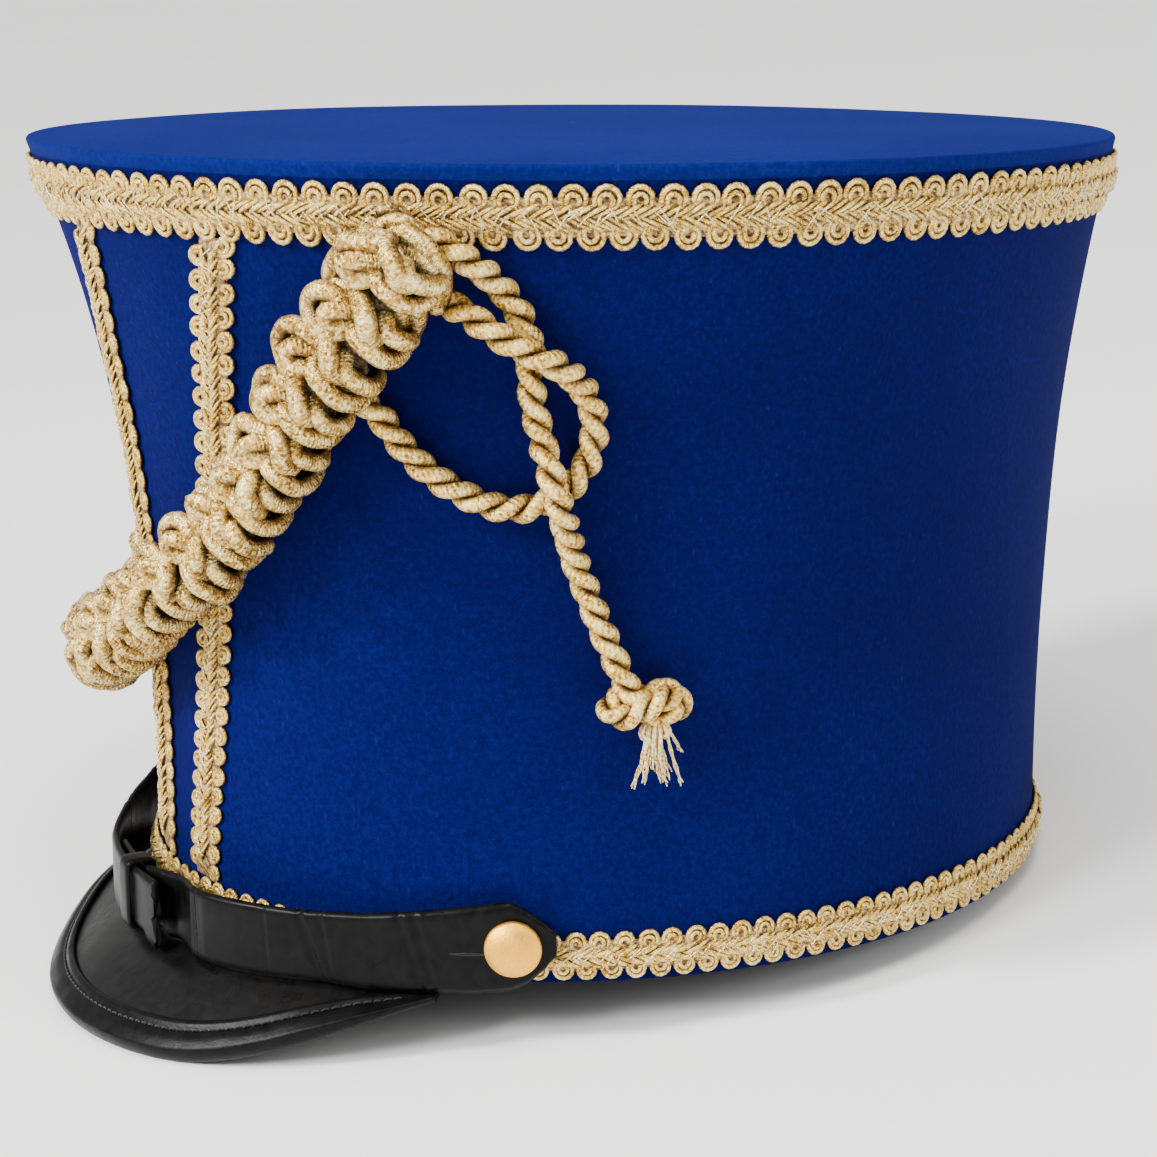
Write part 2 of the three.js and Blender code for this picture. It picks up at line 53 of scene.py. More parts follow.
EDGE_HEIGHT = 4.5
WALL_TOP = CROWN_HEIGHT - EDGE_HEIGHT
GIMP_TOP_WIDTH, GIMP_TOP_LOW = 12.3, 144.6
GIMP_RIM_WIDTH, GIMP_RIM_LIFT = 10.0, 0.5
GIMP_FRONT_WIDTH = 11.6
GIMP_RIB = 2.0
CORD = 5.6
RNG = np.random.default_rng(11)
UP = np.array([0, 0, 1.0])


def to_row(p):
    """Points in the hat's axes, in mm, as points in the row frame, in metres."""
    p = np.asarray(p, float)
    c, s = math.cos(LEAN), math.sin(LEAN)
    y = p[..., 1] * c + p[..., 2] * s + STAND_Y
    z = -p[..., 1] * s + p[..., 2] * c + STAND_Z
    return np.stack([p[..., 0], y, z], -1) / 1000


def section(z):
    """The crown's half length and half width at a height, and how far it leans forward."""
    u = np.asarray(z, float) / CROWN_HEIGHT
    s = -0.2 * u + 0.6 * u**2 + 0.6 * u**3
    a = RIM_LENGTH / 2 + (TOP_LENGTH - RIM_LENGTH) / 2 * s
    b = RIM_WIDTH / 2 + (TOP_WIDTH - RIM_WIDTH) / 2 * s
    return a, b, TOP_FORWARD * s


def on_crown(deg, z, out=0.0):
    """Points at an angle from the front, a height, and out mm from the crown."""
    a, b, shift = section(z)
    t = np.radians(deg)
    x = (b + out) * np.sin(t)
    y = -(shift + (a + out) * np.cos(t))
    return np.stack(np.broadcast_arrays(x, y, np.asarray(z, float)), -1)


def outward(deg, z):
    """The level direction straight out of the crown."""
    a, b, _ = section(z)
    t = np.radians(deg)
    n = np.stack(np.broadcast_arrays(np.sin(t) / b, -np.cos(t) / a, 0.0), -1)
    return n / np.linalg.norm(n, axis=-1, keepdims=True)


def off_rim(deg, out):
    """A point in the rim's plane, out mm straight out from the crown."""
    return on_crown(deg, 0.0) + outward(deg, 0.0) * out


def run_along(points):
    """The length along a curve at each of its points."""
    return np.concatenate([[0], np.cumsum(np.linalg.norm(np.diff(points, axis=0), axis=1))])


def flat_pairs(u, v):
    """Flat coordinates from one array for each of the two."""
    return np.stack(np.broadcast_arrays(u, v), -1)


def in_scene(name, data):
    obj = bpy.data.objects.new(name, data)
    bpy.context.scene.collection.objects.link(obj)
    return obj


def aimed(name, data, place, aim, up=(0, 0, 1)):
    """Puts a camera or a light at a place, in metres, and aims it."""
    look = unit(np.subtract(aim, place))
    right = unit(np.cross(look, up))
    matrix = np.eye(4)
    matrix[:3] = np.stack([right, np.cross(right, look), -look, place], 1)
    obj = in_scene(name, data)
    obj.matrix_world = Matrix(matrix.tolist())
    return obj


def unit(v):
    return v / np.maximum(np.linalg.norm(v, axis=-1, keepdims=True), 1e-12)


def curve_through(points, step):
    """A centripetal Catmull-Rom curve through points, at even steps."""
    p = np.asarray(points, float)
    p = np.vstack([2 * p[0] - p[1], p, 2 * p[-1] - p[-2]])
    fine = []
    for i in range(1, len(p) - 2):
        p0, p1, p2, p3 = p[i - 1 : i + 3]
        d0, d1, d2 = (max(np.linalg.norm(b - a) ** 0.5, 1e-6) for a, b in ((p0, p1), (p1, p2), (p2, p3)))
        t1 = ((p1 - p0) / d0 - (p2 - p0) / (d0 + d1) + (p2 - p1) / d1) * d1
        t2 = ((p2 - p1) / d1 - (p3 - p1) / (d1 + d2) + (p3 - p2) / d2) * d1
        t = np.linspace(0, 1, 24, endpoint=False)[:, None]
        fine.append((2 * p1 - 2 * p2 + t1 + t2) * t**3 + (3 * p2 - 3 * p1 - 2 * t1 - t2) * t**2 + t1 * t + p1)
    fine = np.vstack([*fine, p[-2][None]])
    s = run_along(fine)
    n = max(4, int(round(s[-1] / step)))
    at = np.linspace(0, s[-1], n + 1)
    return np.stack([np.interp(at, s, fine[:, k]) for k in range(3)], 1), s[-1]


def carried_frames(points):
    """Two directions across a curve, carried along it without a twist."""
    along = unit(np.gradient(points, axis=0))
    side = np.cross(along[0], [0.3, 0.5, 0.81])
    sides = []
    for t in along:
        side = side - t * (side @ t)
        side = side / np.linalg.norm(side)
        sides.append(side)
    sides = np.array(sides)
    return sides, np.cross(along, sides)


class Soup:
    """Collects quads of one piece, with a material number and flat coordinates in mm."""

    def __init__(self):
        self.verts, self.faces, self.uvs, self.slots = [], [], [], []
        self.count = 0

    def grid(self, points, uv, wrap=False, slot=0, flip=False):
        """points (n, m, 3) and uv (n, m or m + 1, 2); wrap joins column m to 0."""
        n, m = points.shape[:2]
        i, j = np.meshgrid(np.arange(n - 1), np.arange(m if wrap else m - 1), indexing="ij")
        k = (j + 1) % m
        quads = np.stack([i * m + j, i * m + k, (i + 1) * m + k, (i + 1) * m + j], -1).reshape(-1, 4)
        coords = np.stack([uv[i, j], uv[i, j + 1], uv[i + 1, j + 1], uv[i + 1, j]], 2).reshape(-1, 4, 2)
        if flip:
            quads, coords = quads[:, ::-1], coords[:, ::-1]
        self.verts.append(points.reshape(-1, 3))
        self.faces.append(quads + self.count)
        self.uvs.append(coords)
        self.slots.append(np.full(len(quads), slot))
        self.count += n * m

    def tube(self, points, radius, sides, up=None, slot=0):
        """A round-ended tube along points, of one radius or one for each point."""
        points = np.asarray(points, float)
        if up is not None:
            up = np.pad(np.broadcast_to(up, points.shape), ((2, 2), (0, 0)), "edge")
        radius = np.broadcast_to(radius, len(points))
        first = unit(points[0] - points[1]) * radius[0]
        last = unit(points[-1] - points[-2]) * radius[-1]
        points = np.vstack([points[0] + first * 0.9, points[0] + first * 0.55, points,
                            points[-1] + last * 0.55, points[-1] + last * 0.9])
        tip = np.array([0.12, 0.8])
        radius = np.concatenate([radius[0] * tip, radius, radius[-1] * tip[::-1]])
        if up is None:
            side, high = carried_frames(points)
        else:
            along = unit(np.gradient(points, axis=0))
            side = unit(np.cross(along, up))
            high = np.cross(side, along)
        t = np.linspace(0, 2 * math.pi, sides, endpoint=False)
        ring = side[:, None] * np.cos(t)[None, :, None] + high[:, None] * np.sin(t)[None, :, None]
        around = np.linspace(0, 2 * math.pi, sides + 1)[None]
        uv = flat_pairs(around, run_along(points)[:, None] + RNG.uniform(0, 50))
        self.grid(points[:, None] + ring * radius[:, None, None], uv, wrap=True, slot=slot, flip=True)

    def piece(self, name, materials, slot, *nodes):
        """The collected faces as one piece, which replaces the CAD nodes named."""
        mesh = bpy.data.meshes.new(name)
        mesh.from_pydata(to_row(np.vstack(self.verts)), [], np.vstack(self.faces), shade_flat=False)
        mesh.polygons.foreach_set("material_index", np.concatenate(self.slots).astype(np.int32))
        mesh.uv_layers.new(name="flat").data.foreach_set("uv", np.vstack(self.uvs).astype(np.float32).ravel())
        mesh.validate()
        for m in materials:
            mesh.materials.append(m)
        obj = in_scene(name, mesh)
        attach(obj, "root")
        if nodes:
            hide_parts(*nodes)
        return obj


# Materials

class Shader:
    """A node material: named inputs are set on its Principled shader."""

    def __init__(self, name, **inputs):
        self.mat = bpy.data.materials.new(name)
        self.mat.use_nodes = True
        self.tree = self.mat.node_tree
        self.out = self.tree.nodes["Principled BSDF"]
        for key, value in inputs.items():
            self.out.inputs[key.replace("_", " ")].default_value = value

    def add(self, kind, inputs, **props):
        """A node with its properties set, and its inputs linked or set."""
        node = self.tree.nodes.new("ShaderNode" + kind)
        for key, value in props.items():
            setattr(node, key, value)
        for key, value in inputs.items():
            if isinstance(value, bpy.types.NodeSocket):
                self.tree.links.new(value, node.inputs[key])
            else:
                node.inputs[key].default_value = value
        return node

    def place(self):
        return self.add("TexCoord", {}).outputs["Object"]

    def flat(self):
        return self.add("TexCoord", {}).outputs["UV"]

    def noise(self, where, scale, detail=2.0, rough=0.5, warp=0.0):
        return self.add("TexNoise", {"Vector": where, "Scale": scale, "Detail": detail,
                                     "Roughness": rough, "Distortion": warp}).outputs["Fac"]

    def ramp(self, fac, *stops):
        node = self.add("ValToRGB", {"Fac": fac})
        ends = node.color_ramp.elements
        while len(ends) < len(stops):
            ends.new(0.5)
        for end, (at, colour) in zip(ends, stops):
            end.position = at
            end.color = (*colour, 1) if len(colour) == 3 else (colour[0],) * 3 + (1,)
        return node.outputs["Color"]

    def mix(self, fac, a, b, how="MIX"):
        return self.add("Mix", {0: fac, 6: a, 7: b}, data_type="RGBA", blend_type=how).outputs[2]

    def math(self, how, a, b=0.5, c=0.5):
        return self.add("Math", {0: a, 1: b, 2: c}, operation=how).outputs[0]

    def sum(self, a, p, b, q):
        """a times p plus b times q."""
        return self.math("ADD", self.math("MULTIPLY", a, p), self.math("MULTIPLY", b, q))

    def bump(self, height, distance, strength=1.0, under=None):
        inputs = {"Height": height, "Distance": distance, "Strength": strength}
        if under is not None:
            inputs["Normal"] = under
        return self.add("Bump", inputs).outputs["Normal"]

    def set(self, **links):
        for key, socket in links.items():
            self.tree.links.new(socket, self.out.inputs[key.replace("_", " ")])
        return self.mat


def velvet(name, deep, mid, light, sheen):
    """Napped velvet: faint brushed patches, fine mottling and stray fibres."""
    m = Shader(name, Roughness=0.9, Sheen_Weight=sheen, Sheen_Roughness=0.4,
               Sheen_Tint=(0.08, 0.22, 1.0, 1), Specular_IOR_Level=0.04)
    at = m.place()
    patches = m.noise(at, 14, 3, 0.5, 0.5)
    mottle = m.noise(at, 900, 4, 0.72)
    colour = m.ramp(m.sum(patches, 0.3, mottle, 0.7), (0.36, deep), (0.5, mid), (0.63, light))
    drawn = m.add("Mapping", {"Vector": at, "Scale": (1.0, 1.0, 0.35), "Rotation": (0.5, 0.3, 0.4)})
    cells = m.add("TexVoronoi", {"Vector": drawn.outputs[0], "Scale": 620.0, "Randomness": 1.0})
    lint = cells.outputs["Distance"]
    stray = m.math("MULTIPLY", m.ramp(lint, (0.0, (1,)), (0.2, (0,))),
                   m.ramp(m.noise(at, 75), (0.46, (0,)), (0.62, (1,))))
    pale = (*(2.6 * c + 0.016 for c in light), 1)
    colour = m.mix(m.math("MULTIPLY", stray, 0.28), colour, pale)
    nap = m.noise(at, 3600, 2, 0.7)
    return m.set(Base_Color=colour, Normal=m.bump(m.math("ADD", nap, mottle), 0.0004, 0.55))


def thread(name, colours, turn, grain, metallic=0.7, rough=0.3, wound=0.3, sunk=True, depth=0.0):
    """Metallic thread wound round a core.

    turn is the winding's pitch in mm, and wound how much of the tone follows it, which paints
    shade in the grooves between turns and highlight on their crests. A sunk thread gets painted
    shade on the side turned to its piece, the more so the larger depth is.
    """
    m = Shader(name, Metallic=metallic, Specular_IOR_Level=0.5)
    uv, at = m.flat(), m.place()
    lines = m.add("Mapping", {"Vector": uv, "Rotation": (0, 0, 0.3)})
    wave = m.add("TexWave", {"Vector": lines.outputs[0], "Scale": 2 * math.pi / (20 * turn),
                             "Distortion": 2.5, "Detail": 2.0, "Detail Scale": 1.5},
                 bands_direction="Y").outputs["Fac"]
    cells = m.add("TexVoronoi", {"Vector": at, "Scale": float(grain), "Randomness": 1.0})
    glint = m.add("SeparateColor", {"Color": cells.outputs["Color"]}).outputs[0]
    speck = m.noise(at, grain * 1.6, 3, 0.7)
    patch = m.noise(at, grain / 9, 2, 0.5)
    # The tone: glint paints bright random cells as glints, patch varies it at random, and the share that
    # follows the winding paints shade in the grooves between turns and highlight on their crests.
    grainy = m.sum(glint, 0.4, patch, 0.6 - wound * 0.6)
    tone = m.math("ADD", m.math("MULTIPLY", wave, wound * 0.6), grainy)
    colour = m.ramp(tone, *zip((0.26, 0.46, 0.68), colours))
    # Painted shade: each tube is darkened on the side turned in to its piece, by its angle round.
    if sunk:
        angle = m.add("SeparateXYZ", {"Vector": uv}).outputs[0]
        facing_out = m.math("MULTIPLY_ADD", m.math("SINE", angle), 0.5, 0.5)
        shade = m.ramp(facing_out, (0.14 + depth, (0.06, 0.04, 0.025)), (0.5 + depth, (0.5, 0.42, 0.34)),
                       (0.82 + depth, (1, 1, 1)))
        colour = m.mix(1.0, colour, shade, "MULTIPLY")
    shine = m.ramp(speck, (0.35, (rough + 0.16,)), (0.62, (rough - 0.12,)))
    low = m.bump(wave, 0.00028, 0.4)
    facets = m.bump(glint, 0.0003, 0.9, low)
    return m.set(Base_Color=colour, Roughness=shine, Normal=m.bump(speck, 0.00028, 0.8, facets))


def patent(name, rough, wrinkle, grain, gloss=0.085):
    """Black patent leather: a gloss over faint waves and scuffs."""
    m = Shader(name, Specular_IOR_Level=gloss)
    at = m.place()
    waves = m.noise(at, 42, 3, 0.5, 0.4)
    scuff = m.noise(at, 260, 4, 0.7, 0.8)
    pores = m.noise(at, 1900, 2, 0.6)
    colour = m.ramp(scuff, (0.35, (0.0018, 0.0018, 0.002)), (0.7, (0.005, 0.005, 0.0055)))
    shine = m.ramp(m.sum(waves, 0.5, scuff, 0.5), (0.36, (rough,)), (0.66, (rough + 0.14,)))
    low = m.bump(waves, 0.004, wrinkle * 0.5)
    high = m.bump(m.math("ADD", pores, scuff), 0.00025, grain, low)
    return m.set(Base_Color=colour, Roughness=shine, Normal=high)


def brass(name):
    """Satin gilt brass, slightly clouded."""
    m = Shader(name, Metallic=0.9, Specular_IOR_Level=0.5)
    at = m.place()
    grit = m.noise(at, 2600, 3, 0.7)
    cloud = m.noise(at, 420, 2, 0.5)
    colour = m.ramp(m.sum(grit, 0.6, cloud, 0.4), (0.32, (0.72, 0.4, 0.09)),
                    (0.52, (1.0, 0.46, 0.03)), (0.7, (1.0, 0.66, 0.13)))
    shine = m.ramp(cloud, (0.3, (0.34,)), (0.7, (0.48,)))
    return m.set(Base_Color=colour, Roughness=shine, Normal=m.bump(grit, 0.0002, 0.6))


def cloth(name, dark, pale, scale):
    """Plain weave of dark thread."""
    m = Shader(name, Roughness=0.85, Sheen_Weight=0.2, Specular_IOR_Level=0.25)
    uv, at = m.flat(), m.place()
    warp, weft = (m.add("TexWave", {"Vector": uv, "Scale": scale}, bands_direction=d) for d in "XY")
    weave = m.math("MULTIPLY", warp.outputs["Fac"], weft.outputs["Fac"])
    tone = m.sum(weave, 0.5, m.noise(at, 300, 3), 0.5)
    return m.set(Base_Color=m.ramp(tone, (0.2, dark), (0.75, pale)), Normal=m.bump(weave, 0.0002, 0.5))


VELVET_SIDE = velvet("velvet_side", (0.0011, 0.0011, 0.039), (0.0016, 0.0019, 0.058),
                     (0.0028, 0.004, 0.085), 0.03)
# The top's velvet is the side's cloth in lighter colours: painted light and sheen on the top, which faces up
# and is seen at a grazing angle.
VELVET_TOP_PAINTED_LIT = velvet("velvet_top", (0.0022, 0.005, 0.08), (0.0031, 0.0074, 0.107),
                    (0.0056, 0.013, 0.14), 0.04)
LINING = cloth("lining", (0.006, 0.006, 0.008), (0.03, 0.03, 0.034), 0.5)
GOLD = ((0.28, 0.14, 0.018), (0.85, 0.52, 0.085), (1.0, 0.83, 0.36))
GIMP = thread("gimp_thread", GOLD, 0.5, 1900)
# The gimp's base is the same gold thread in darker colours: painted shade for the hollows inside the rings
# and under the rib.
GIMP_SHADE_PAINTED = thread("gimp_base_painted_shade", ((0.1, 0.05, 0.02), (0.26, 0.16, 0.06), (0.6, 0.42, 0.18)),
                   0.6, 1900, 0.5, 0.5, sunk=False)
STRANDS = thread("strand_thread", ((0.17, 0.085, 0.014), (0.66, 0.39, 0.07), (1.0, 0.83, 0.38)),
                 0.62, 1700, 0.75, 0.25, wound=0.1, depth=0.13)
# The strands' base is the same thread in far darker colours: painted shade for the plait's core between the
# strands.
STRANDS_SHADE_PAINTED = thread("strand_core_painted_shade", ((0.02, 0.012, 0.005), (0.07, 0.045, 0.018), (0.2, 0.14, 0.06)),
                      0.7, 1500, 0.4, 0.6, sunk=False)
PLY = thread("ply_thread", GOLD, 0.74, 1700, wound=0.24)
# The tinsel strands are a paler copy of the gold thread: painted glints on the rib.
TINSEL_GLINT_PAINTED = thread("tinsel_painted_glint", ((0.9, 0.66, 0.3), (1.0, 0.85, 0.5), (1.0, 0.96, 0.78)),
                0.9, 1200, 0.9, 0.24, sunk=False)
# The fray's loose threads are the cord's gold in paler colours: painted highlight on the thin, lit threads.
FRAY_PAINTED_LIGHT = thread("fray_thread_painted_light", ((0.55, 0.34, 0.08), (0.96, 0.7, 0.26), (1.0, 0.9, 0.55)),
              0.9, 1200, 0.55, 0.34, sunk=False)
LEATHER = patent("patent_leather", 0.27, 0.35, 0.1)
BOUND = patent("patent_binding", 0.28, 0.5, 0.2)
PEAK = patent("patent_peak", 0.24, 0.5, 0.1, 0.2)
# The slit's near-black cloth is painted shade for the gap of the cut.
SLIT_SHADE_PAINTED = cloth("slit_painted_shade", (0.004, 0.004, 0.004), (0.02, 0.019, 0.018), 1.3)
THREAD = cloth("black_thread", (0.004, 0.004, 0.004), (0.018, 0.018, 0.018), 2.0)
BRASS = brass("satin_brass")


# Camera, as fitted to the photo. Its place and aim are in the hat's own axes, and its
# focal length and sideways shift are in pixels of the photo.

CAMERA_PLACE, CAMERA_AIM = np.array([480.9, -312.4, 190.3]), np.array([0.0, 0.0, 59.61])
PHOTO_SIDE, FOCAL_LENGTH, SIDE_SHIFT = 1157, 2597.68, -25.58
SENSOR = 36


def make_camera():
    data = bpy.data.cameras.new("camera")
    data.sensor_width = SENSOR
    data.lens = FOCAL_LENGTH / PHOTO_SIDE * SENSOR
    data.shift_x = SIDE_SHIFT / PHOTO_SIDE
    data.clip_start = 0.01
    # The picture is upright along the hat's own axis, which leans in the row frame.
    upright = to_row(UP) - to_row(0 * UP)
    bpy.context.scene.camera = aimed("camera", data, to_row(CAMERA_PLACE), to_row(CAMERA_AIM), upright)


# Loose cord. Each point of a route is an angle from the front, a height and mm out from
# the crown, as in the CAD source.

LOOP_ROUTE = [
    (45.8, 136.1, 5.4), (48.1, 134.3, 7.4), (49.9, 132, 9.2), (51.6, 129.7, 10), (53.4, 127.6, 10.1),
    (55.3, 125.7, 9.6), (57, 123.2, 7.8), (58.4, 119.7, 4.6), (59.3, 115.3, 3.5), (59.4, 110.6, 3.4),
    (58.8, 105.9, 3.4), (57.6, 102, 3.4), (55.9, 99, 3.4), (53.6, 96.9, 3.4), (50.9, 96.2, 3.4),
    (48.2, 97.3, 3.4), (45.6, 99.6, 3.4), (42.9, 102.9, 3.4), (41, 106.4, 3.4), (39.5, 110, 3.5),
    (38.6, 113, 3.9),
]
TAIL_ROUTE = [
    (48.3, 144.4, 7.4), (49.7, 142, 5.9), (51.1, 138.8, 4), (52.3, 135.4, 3.4), (53.2, 131.5, 3.4),
    (53.6, 127.3, 3.4), (53.6, 123, 3.4), (53.6, 118.6, 3.4), (53.9, 114.1, 3.7), (54.4, 110, 5.4),
    (55, 106, 8.7), (55.6, 101.8, 10.2), (56.2, 96.5, 9.4), (56.8, 90.7, 6.2), (57.6, 84.4, 3.7),
    (58.8, 78.3, 3.4), (59.8, 73, 3.4), (61, 67.9, 3.7), (61.8, 64, 4.6),
]
KNOT_AT = (64.2, 57.6)
KNOT_HEIGHT, KNOT_DEPTH = 9.2, 9.6
TWIST_PITCH, KNOT_PITCH = 10.6, 9.0
KNOT_CORD = CORD * 0.9
# A ply's radius as a share of the cord's diameter.
PLY_SHARE = 0.262
# Where the loose cord goes on: under the swag, and into its knot.
LOOP_START, LOOP_END = [(43.6, 137.8, 6.2)], [(37.4, 115.8, 4.6), (35.6, 119.0, 5.4)]
TAIL_START = [(45.6, 148.0, 7.4)]
TAIL_END = [(62.7, 60.6, 5.0), (63.8, 58.2, 4.7)]


def twisted(soup, path, diameter, pitch, phase=0.0):
    """Two plies laid round each other along a path."""
    side, high = carried_frames(path)
    turn = phase - 2 * math.pi * run_along(path) / pitch
    ply = diameter * PLY_SHARE
    for k in (0, 1):
        t = turn + math.pi * k
        offset = side * np.cos(t)[:, None] + high * np.sin(t)[:, None]
        # Each ply's up points away from the cord's middle, so the painted shade of its thread falls on the
        # side turned in.
        soup.tube(path + offset * (diameter / 2 - ply), ply, 14, up=offset)


def make_cord(name, route, node, **facts):
    """A free length of the twisted cord. Its facts are not used."""
    path, length = curve_through([on_crown(*r) for r in route], 0.45)
    soup = Soup()
    twisted(soup, path, CORD, TWIST_PITCH)
    obj = soup.piece(name, [PLY], "cord", node)


# The knot's middle, and its directions outward and along the crown.
KNOT_OUT = outward(*KNOT_AT)
KNOT_SIDE = np.cross(UP, KNOT_OUT)
KNOT_MIDDLE = on_crown(*KNOT_AT, GAP + KNOT_DEPTH / 2)
# The knot's cord, in mm along the crown, up and outward from the knot's middle.
KNOT_ROUTE = [
    (-2.6, 2.6, 0.2), (0.6, 0.2, -0.6), (4.2, -1.6, 0.3), (6.7, -1.5, 0.5), (6.8, 0.9, -0.7),
    (4, 1.9, -2), (0, 1.2, -2.3), (-4, 0.6, -2), (-6.6, 0.7, -0.4), (-6.5, -1.5, 1),
    (-4, -1.8, 2.1), (-0.4, -0.4, 2.3), (3.2, 1.3, 2.1), (5, 2.1, 0.7), (4.6, 2.2, -1.2),
    (3, 0.4, -1.4), (2.3, -2.2, -0.4), (2.2, -3.4, 0),
]


def make_knot():
    """An overhand knot drawn tight, wider than it is high."""
    path, _ = curve_through(KNOT_MIDDLE + np.array(KNOT_ROUTE) @ [KNOT_SIDE, UP, KNOT_OUT], 0.4)
    soup = Soup()
    twisted(soup, path, KNOT_CORD, KNOT_PITCH, 0.6)
    return soup.piece("knot", [PLY], "cord", "cord_knot")


FRAY_LENGTH, FRAY_ASIDE = 12.5, 2.2
COLLAR_STRANDS, COLLAR_LENGTH, COLLAR_RADIUS = 14, 2.6, 0.42
TUFTS, TUFT_THREADS = 12, 5
# Half the width of the mouth that the threads come out of, along the crown and outward.
MOUTH_SIDE, MOUTH_OUT = 2.0, 1.6


def make_fray():
    """The cord's end, opened into loose threads below the knot."""
    out, side = KNOT_OUT, KNOT_SIDE
    root = KNOT_MIDDLE + side * FRAY_ASIDE - UP * (KNOT_HEIGHT / 2 - 0.9)
    soup = Soup()
    for k in range(COLLAR_STRANDS):
        # A short strand folded over where the cord comes out.
        a = 2 * math.pi * k / COLLAR_STRANDS
        ring = side * 2.3 * math.cos(a) + out * 2.0 * math.sin(a)
        s = np.linspace(0, 1, 6)[:, None]
        drop = COLLAR_LENGTH + RNG.uniform(-0.4, 0.8)
        soup.tube(root + ring * (0.8 + 0.45 * np.sin(s * 2.6)) - UP * drop * s, COLLAR_RADIUS, 6)
    for tuft in range(TUFTS):
        a = 2 * math.pi * tuft / TUFTS + RNG.normal(0, 0.2)
        r = math.sqrt(RNG.uniform(0.1, 1))
        long = FRAY_LENGTH * RNG.uniform(0.72, 1.0)
        lean = side * (0.27 * r * math.cos(a) + RNG.normal(0.03, 0.05)) + out * (0.07 * r * math.sin(a))
        if tuft == 0:
            # One short tuft stands out to the side.
            long, lean = FRAY_LENGTH * 0.5, side * 0.62
        bend = side * RNG.normal(0, 0.55) + out * RNG.normal(0, 0.3)
        for _ in range(TUFT_THREADS):
            spread = side * RNG.normal(0, 0.2) + out * RNG.normal(0, 0.2)
            start = root + side * MOUTH_SIDE * r * math.cos(a) + out * MOUTH_OUT * r * math.sin(a) + spread
            s = np.linspace(0, 1, 12)[:, None]
            crimp = RNG.uniform(0, 6)
            wave = (side * 0.16 * np.sin(s * 22 + crimp) + out * 0.14 * np.cos(s * 19 + crimp)) * s
            fall = (lean - UP) * long * RNG.uniform(0.86, 1.03) * s
            line = start + fall + bend * np.sin(s * 3.1) + wave + spread * s * 0.9
            soup.tube(line, np.linspace(0.2, RNG.uniform(0.09, 0.14), 12), 5)
    return soup.piece("fray", [FRAY_PAINTED_LIGHT], "cord", "cord_fray")


# Crown

COLUMNS = 288
# Lowers the velvet's swell, so that it stands only a little off the solid.
SETTLE = 0.12


def crown_ripple(deg, z):
    """How the velvet stands off its shell, as a small uneven swell."""
    t = np.radians(deg)
    swell = 0.10 * np.sin(3 * t + 0.04 * z) + 0.07 * np.sin(7 * t - 0.06 * z + 1)
    return swell + 0.05 * np.sin(13 * t + 0.11 * z) - SETTLE


def make_crown():
    """The velvet side wall, its lining and the lip between them."""
    deg = np.linspace(0, 360, COLUMNS, endpoint=False)
    z = np.linspace(0, WALL_TOP + GAP, 56)
    grid_z, grid_deg = np.meshgrid(z, deg, indexing="ij")
    uv = flat_pairs(np.linspace(0, 1, COLUMNS + 1)[None] * 660, z[:, None])
    soup = Soup()
    ease = np.sin(np.clip(grid_z / WALL_TOP, 0, 1) * math.pi) ** 0.5
    soup.grid(on_crown(grid_deg, grid_z, crown_ripple(grid_deg, grid_z) * ease), uv, wrap=True)
    soup.grid(on_crown(grid_deg, grid_z, -WALL), uv, wrap=True, slot=1, flip=True)
    lip = [on_crown(deg, 0.0, WALL / 2 * (math.cos(a) - 1)) for a in np.linspace(0, math.pi, 7)]
    soup.grid(np.stack(lip), uv[:7], wrap=True, flip=True)
    return soup.piece("velvet_side", [VELVET_SIDE, LINING], "velvet", "crown_wall")


# The top's rounded edge: its radius, and how far it lies below the top's middle.
EDGE_ROUND, EDGE_DROP = 1.1, 1.3


def make_top():
    """The flat top: velvet drawn over a rounded edge, its underside lined."""
    deg = np.linspace(0, 360, COLUMNS, endpoint=False)
    t = np.radians(deg)
    low, bend = WALL_TOP + GAP, CROWN_HEIGHT - EDGE_DROP - EDGE_ROUND
    tucked = on_crown(deg, low - 0.25, -0.02)
    rings = [tucked, on_crown(deg, low), on_crown(deg, bend)]
    rings += [on_crown(deg, bend + EDGE_ROUND * math.sin(a), -EDGE_ROUND * (1 - math.cos(a)))
              for a in np.linspace(0.15, math.pi / 2, 9)]
    rim = rings[-1]
    middle = np.array([0, -TOP_FORWARD, CROWN_HEIGHT])
    for share in np.linspace(0.97, 0.004, 40):
        ring = middle + (rim - middle) * share
        swell = 0.12 * np.sin(2 * t + 5 * share) + 0.1 * np.cos(5 * t - 7 * share) - SETTLE
        drop = EDGE_DROP * max(0.0, (share - 0.8) / 0.2) ** 1.5
        ring[:, 2] = CROWN_HEIGHT - drop + swell * min(1.0, (1 - share) * 8) * share
        rings.append(ring)
    inner = on_crown(deg, CROWN_HEIGHT - WALL, -EDGE_HEIGHT)
    base = np.array([0, -TOP_FORWARD, CROWN_HEIGHT - WALL])
    under = [tucked, on_crown(deg, low - 0.25, -WALL)]
    under += [base + (inner - base) * share for share in np.linspace(1, 0.004, 10)]
    soup = Soup()
    for points, slot in ((np.array(rings), 0), (np.array(under), 1)):
        uv = points[..., :2]
        soup.grid(points, np.concatenate([uv, uv[:, :1]], 1), wrap=True, slot=slot, flip=slot == 1)
    return soup.piece("velvet_top", [VELVET_TOP_PAINTED_LIT, LINING], "velvet", "crown_top")


# Gimp braid

# A scallop's height for its width, and how much its curl shrinks.
SCALLOP_TALL, CURL = 1.08, 0.56
# A strand of the rib: mm along, shares of the braid's width across, mm out, radius.
RIB_ALONG = np.array([-0.28, 0.1, 0.5, 0.86, 1.05]) * 3.9
RIB_ACROSS = np.array([-0.03, 0.035, 0.1, 0.155, 0.175])
RIB_OUT = np.array([0.9, 1.5, 1.72, 1.3, 0.75])
RIB_RADIUS = np.array([0.3, 0.42, 0.44, 0.38, 0.24])


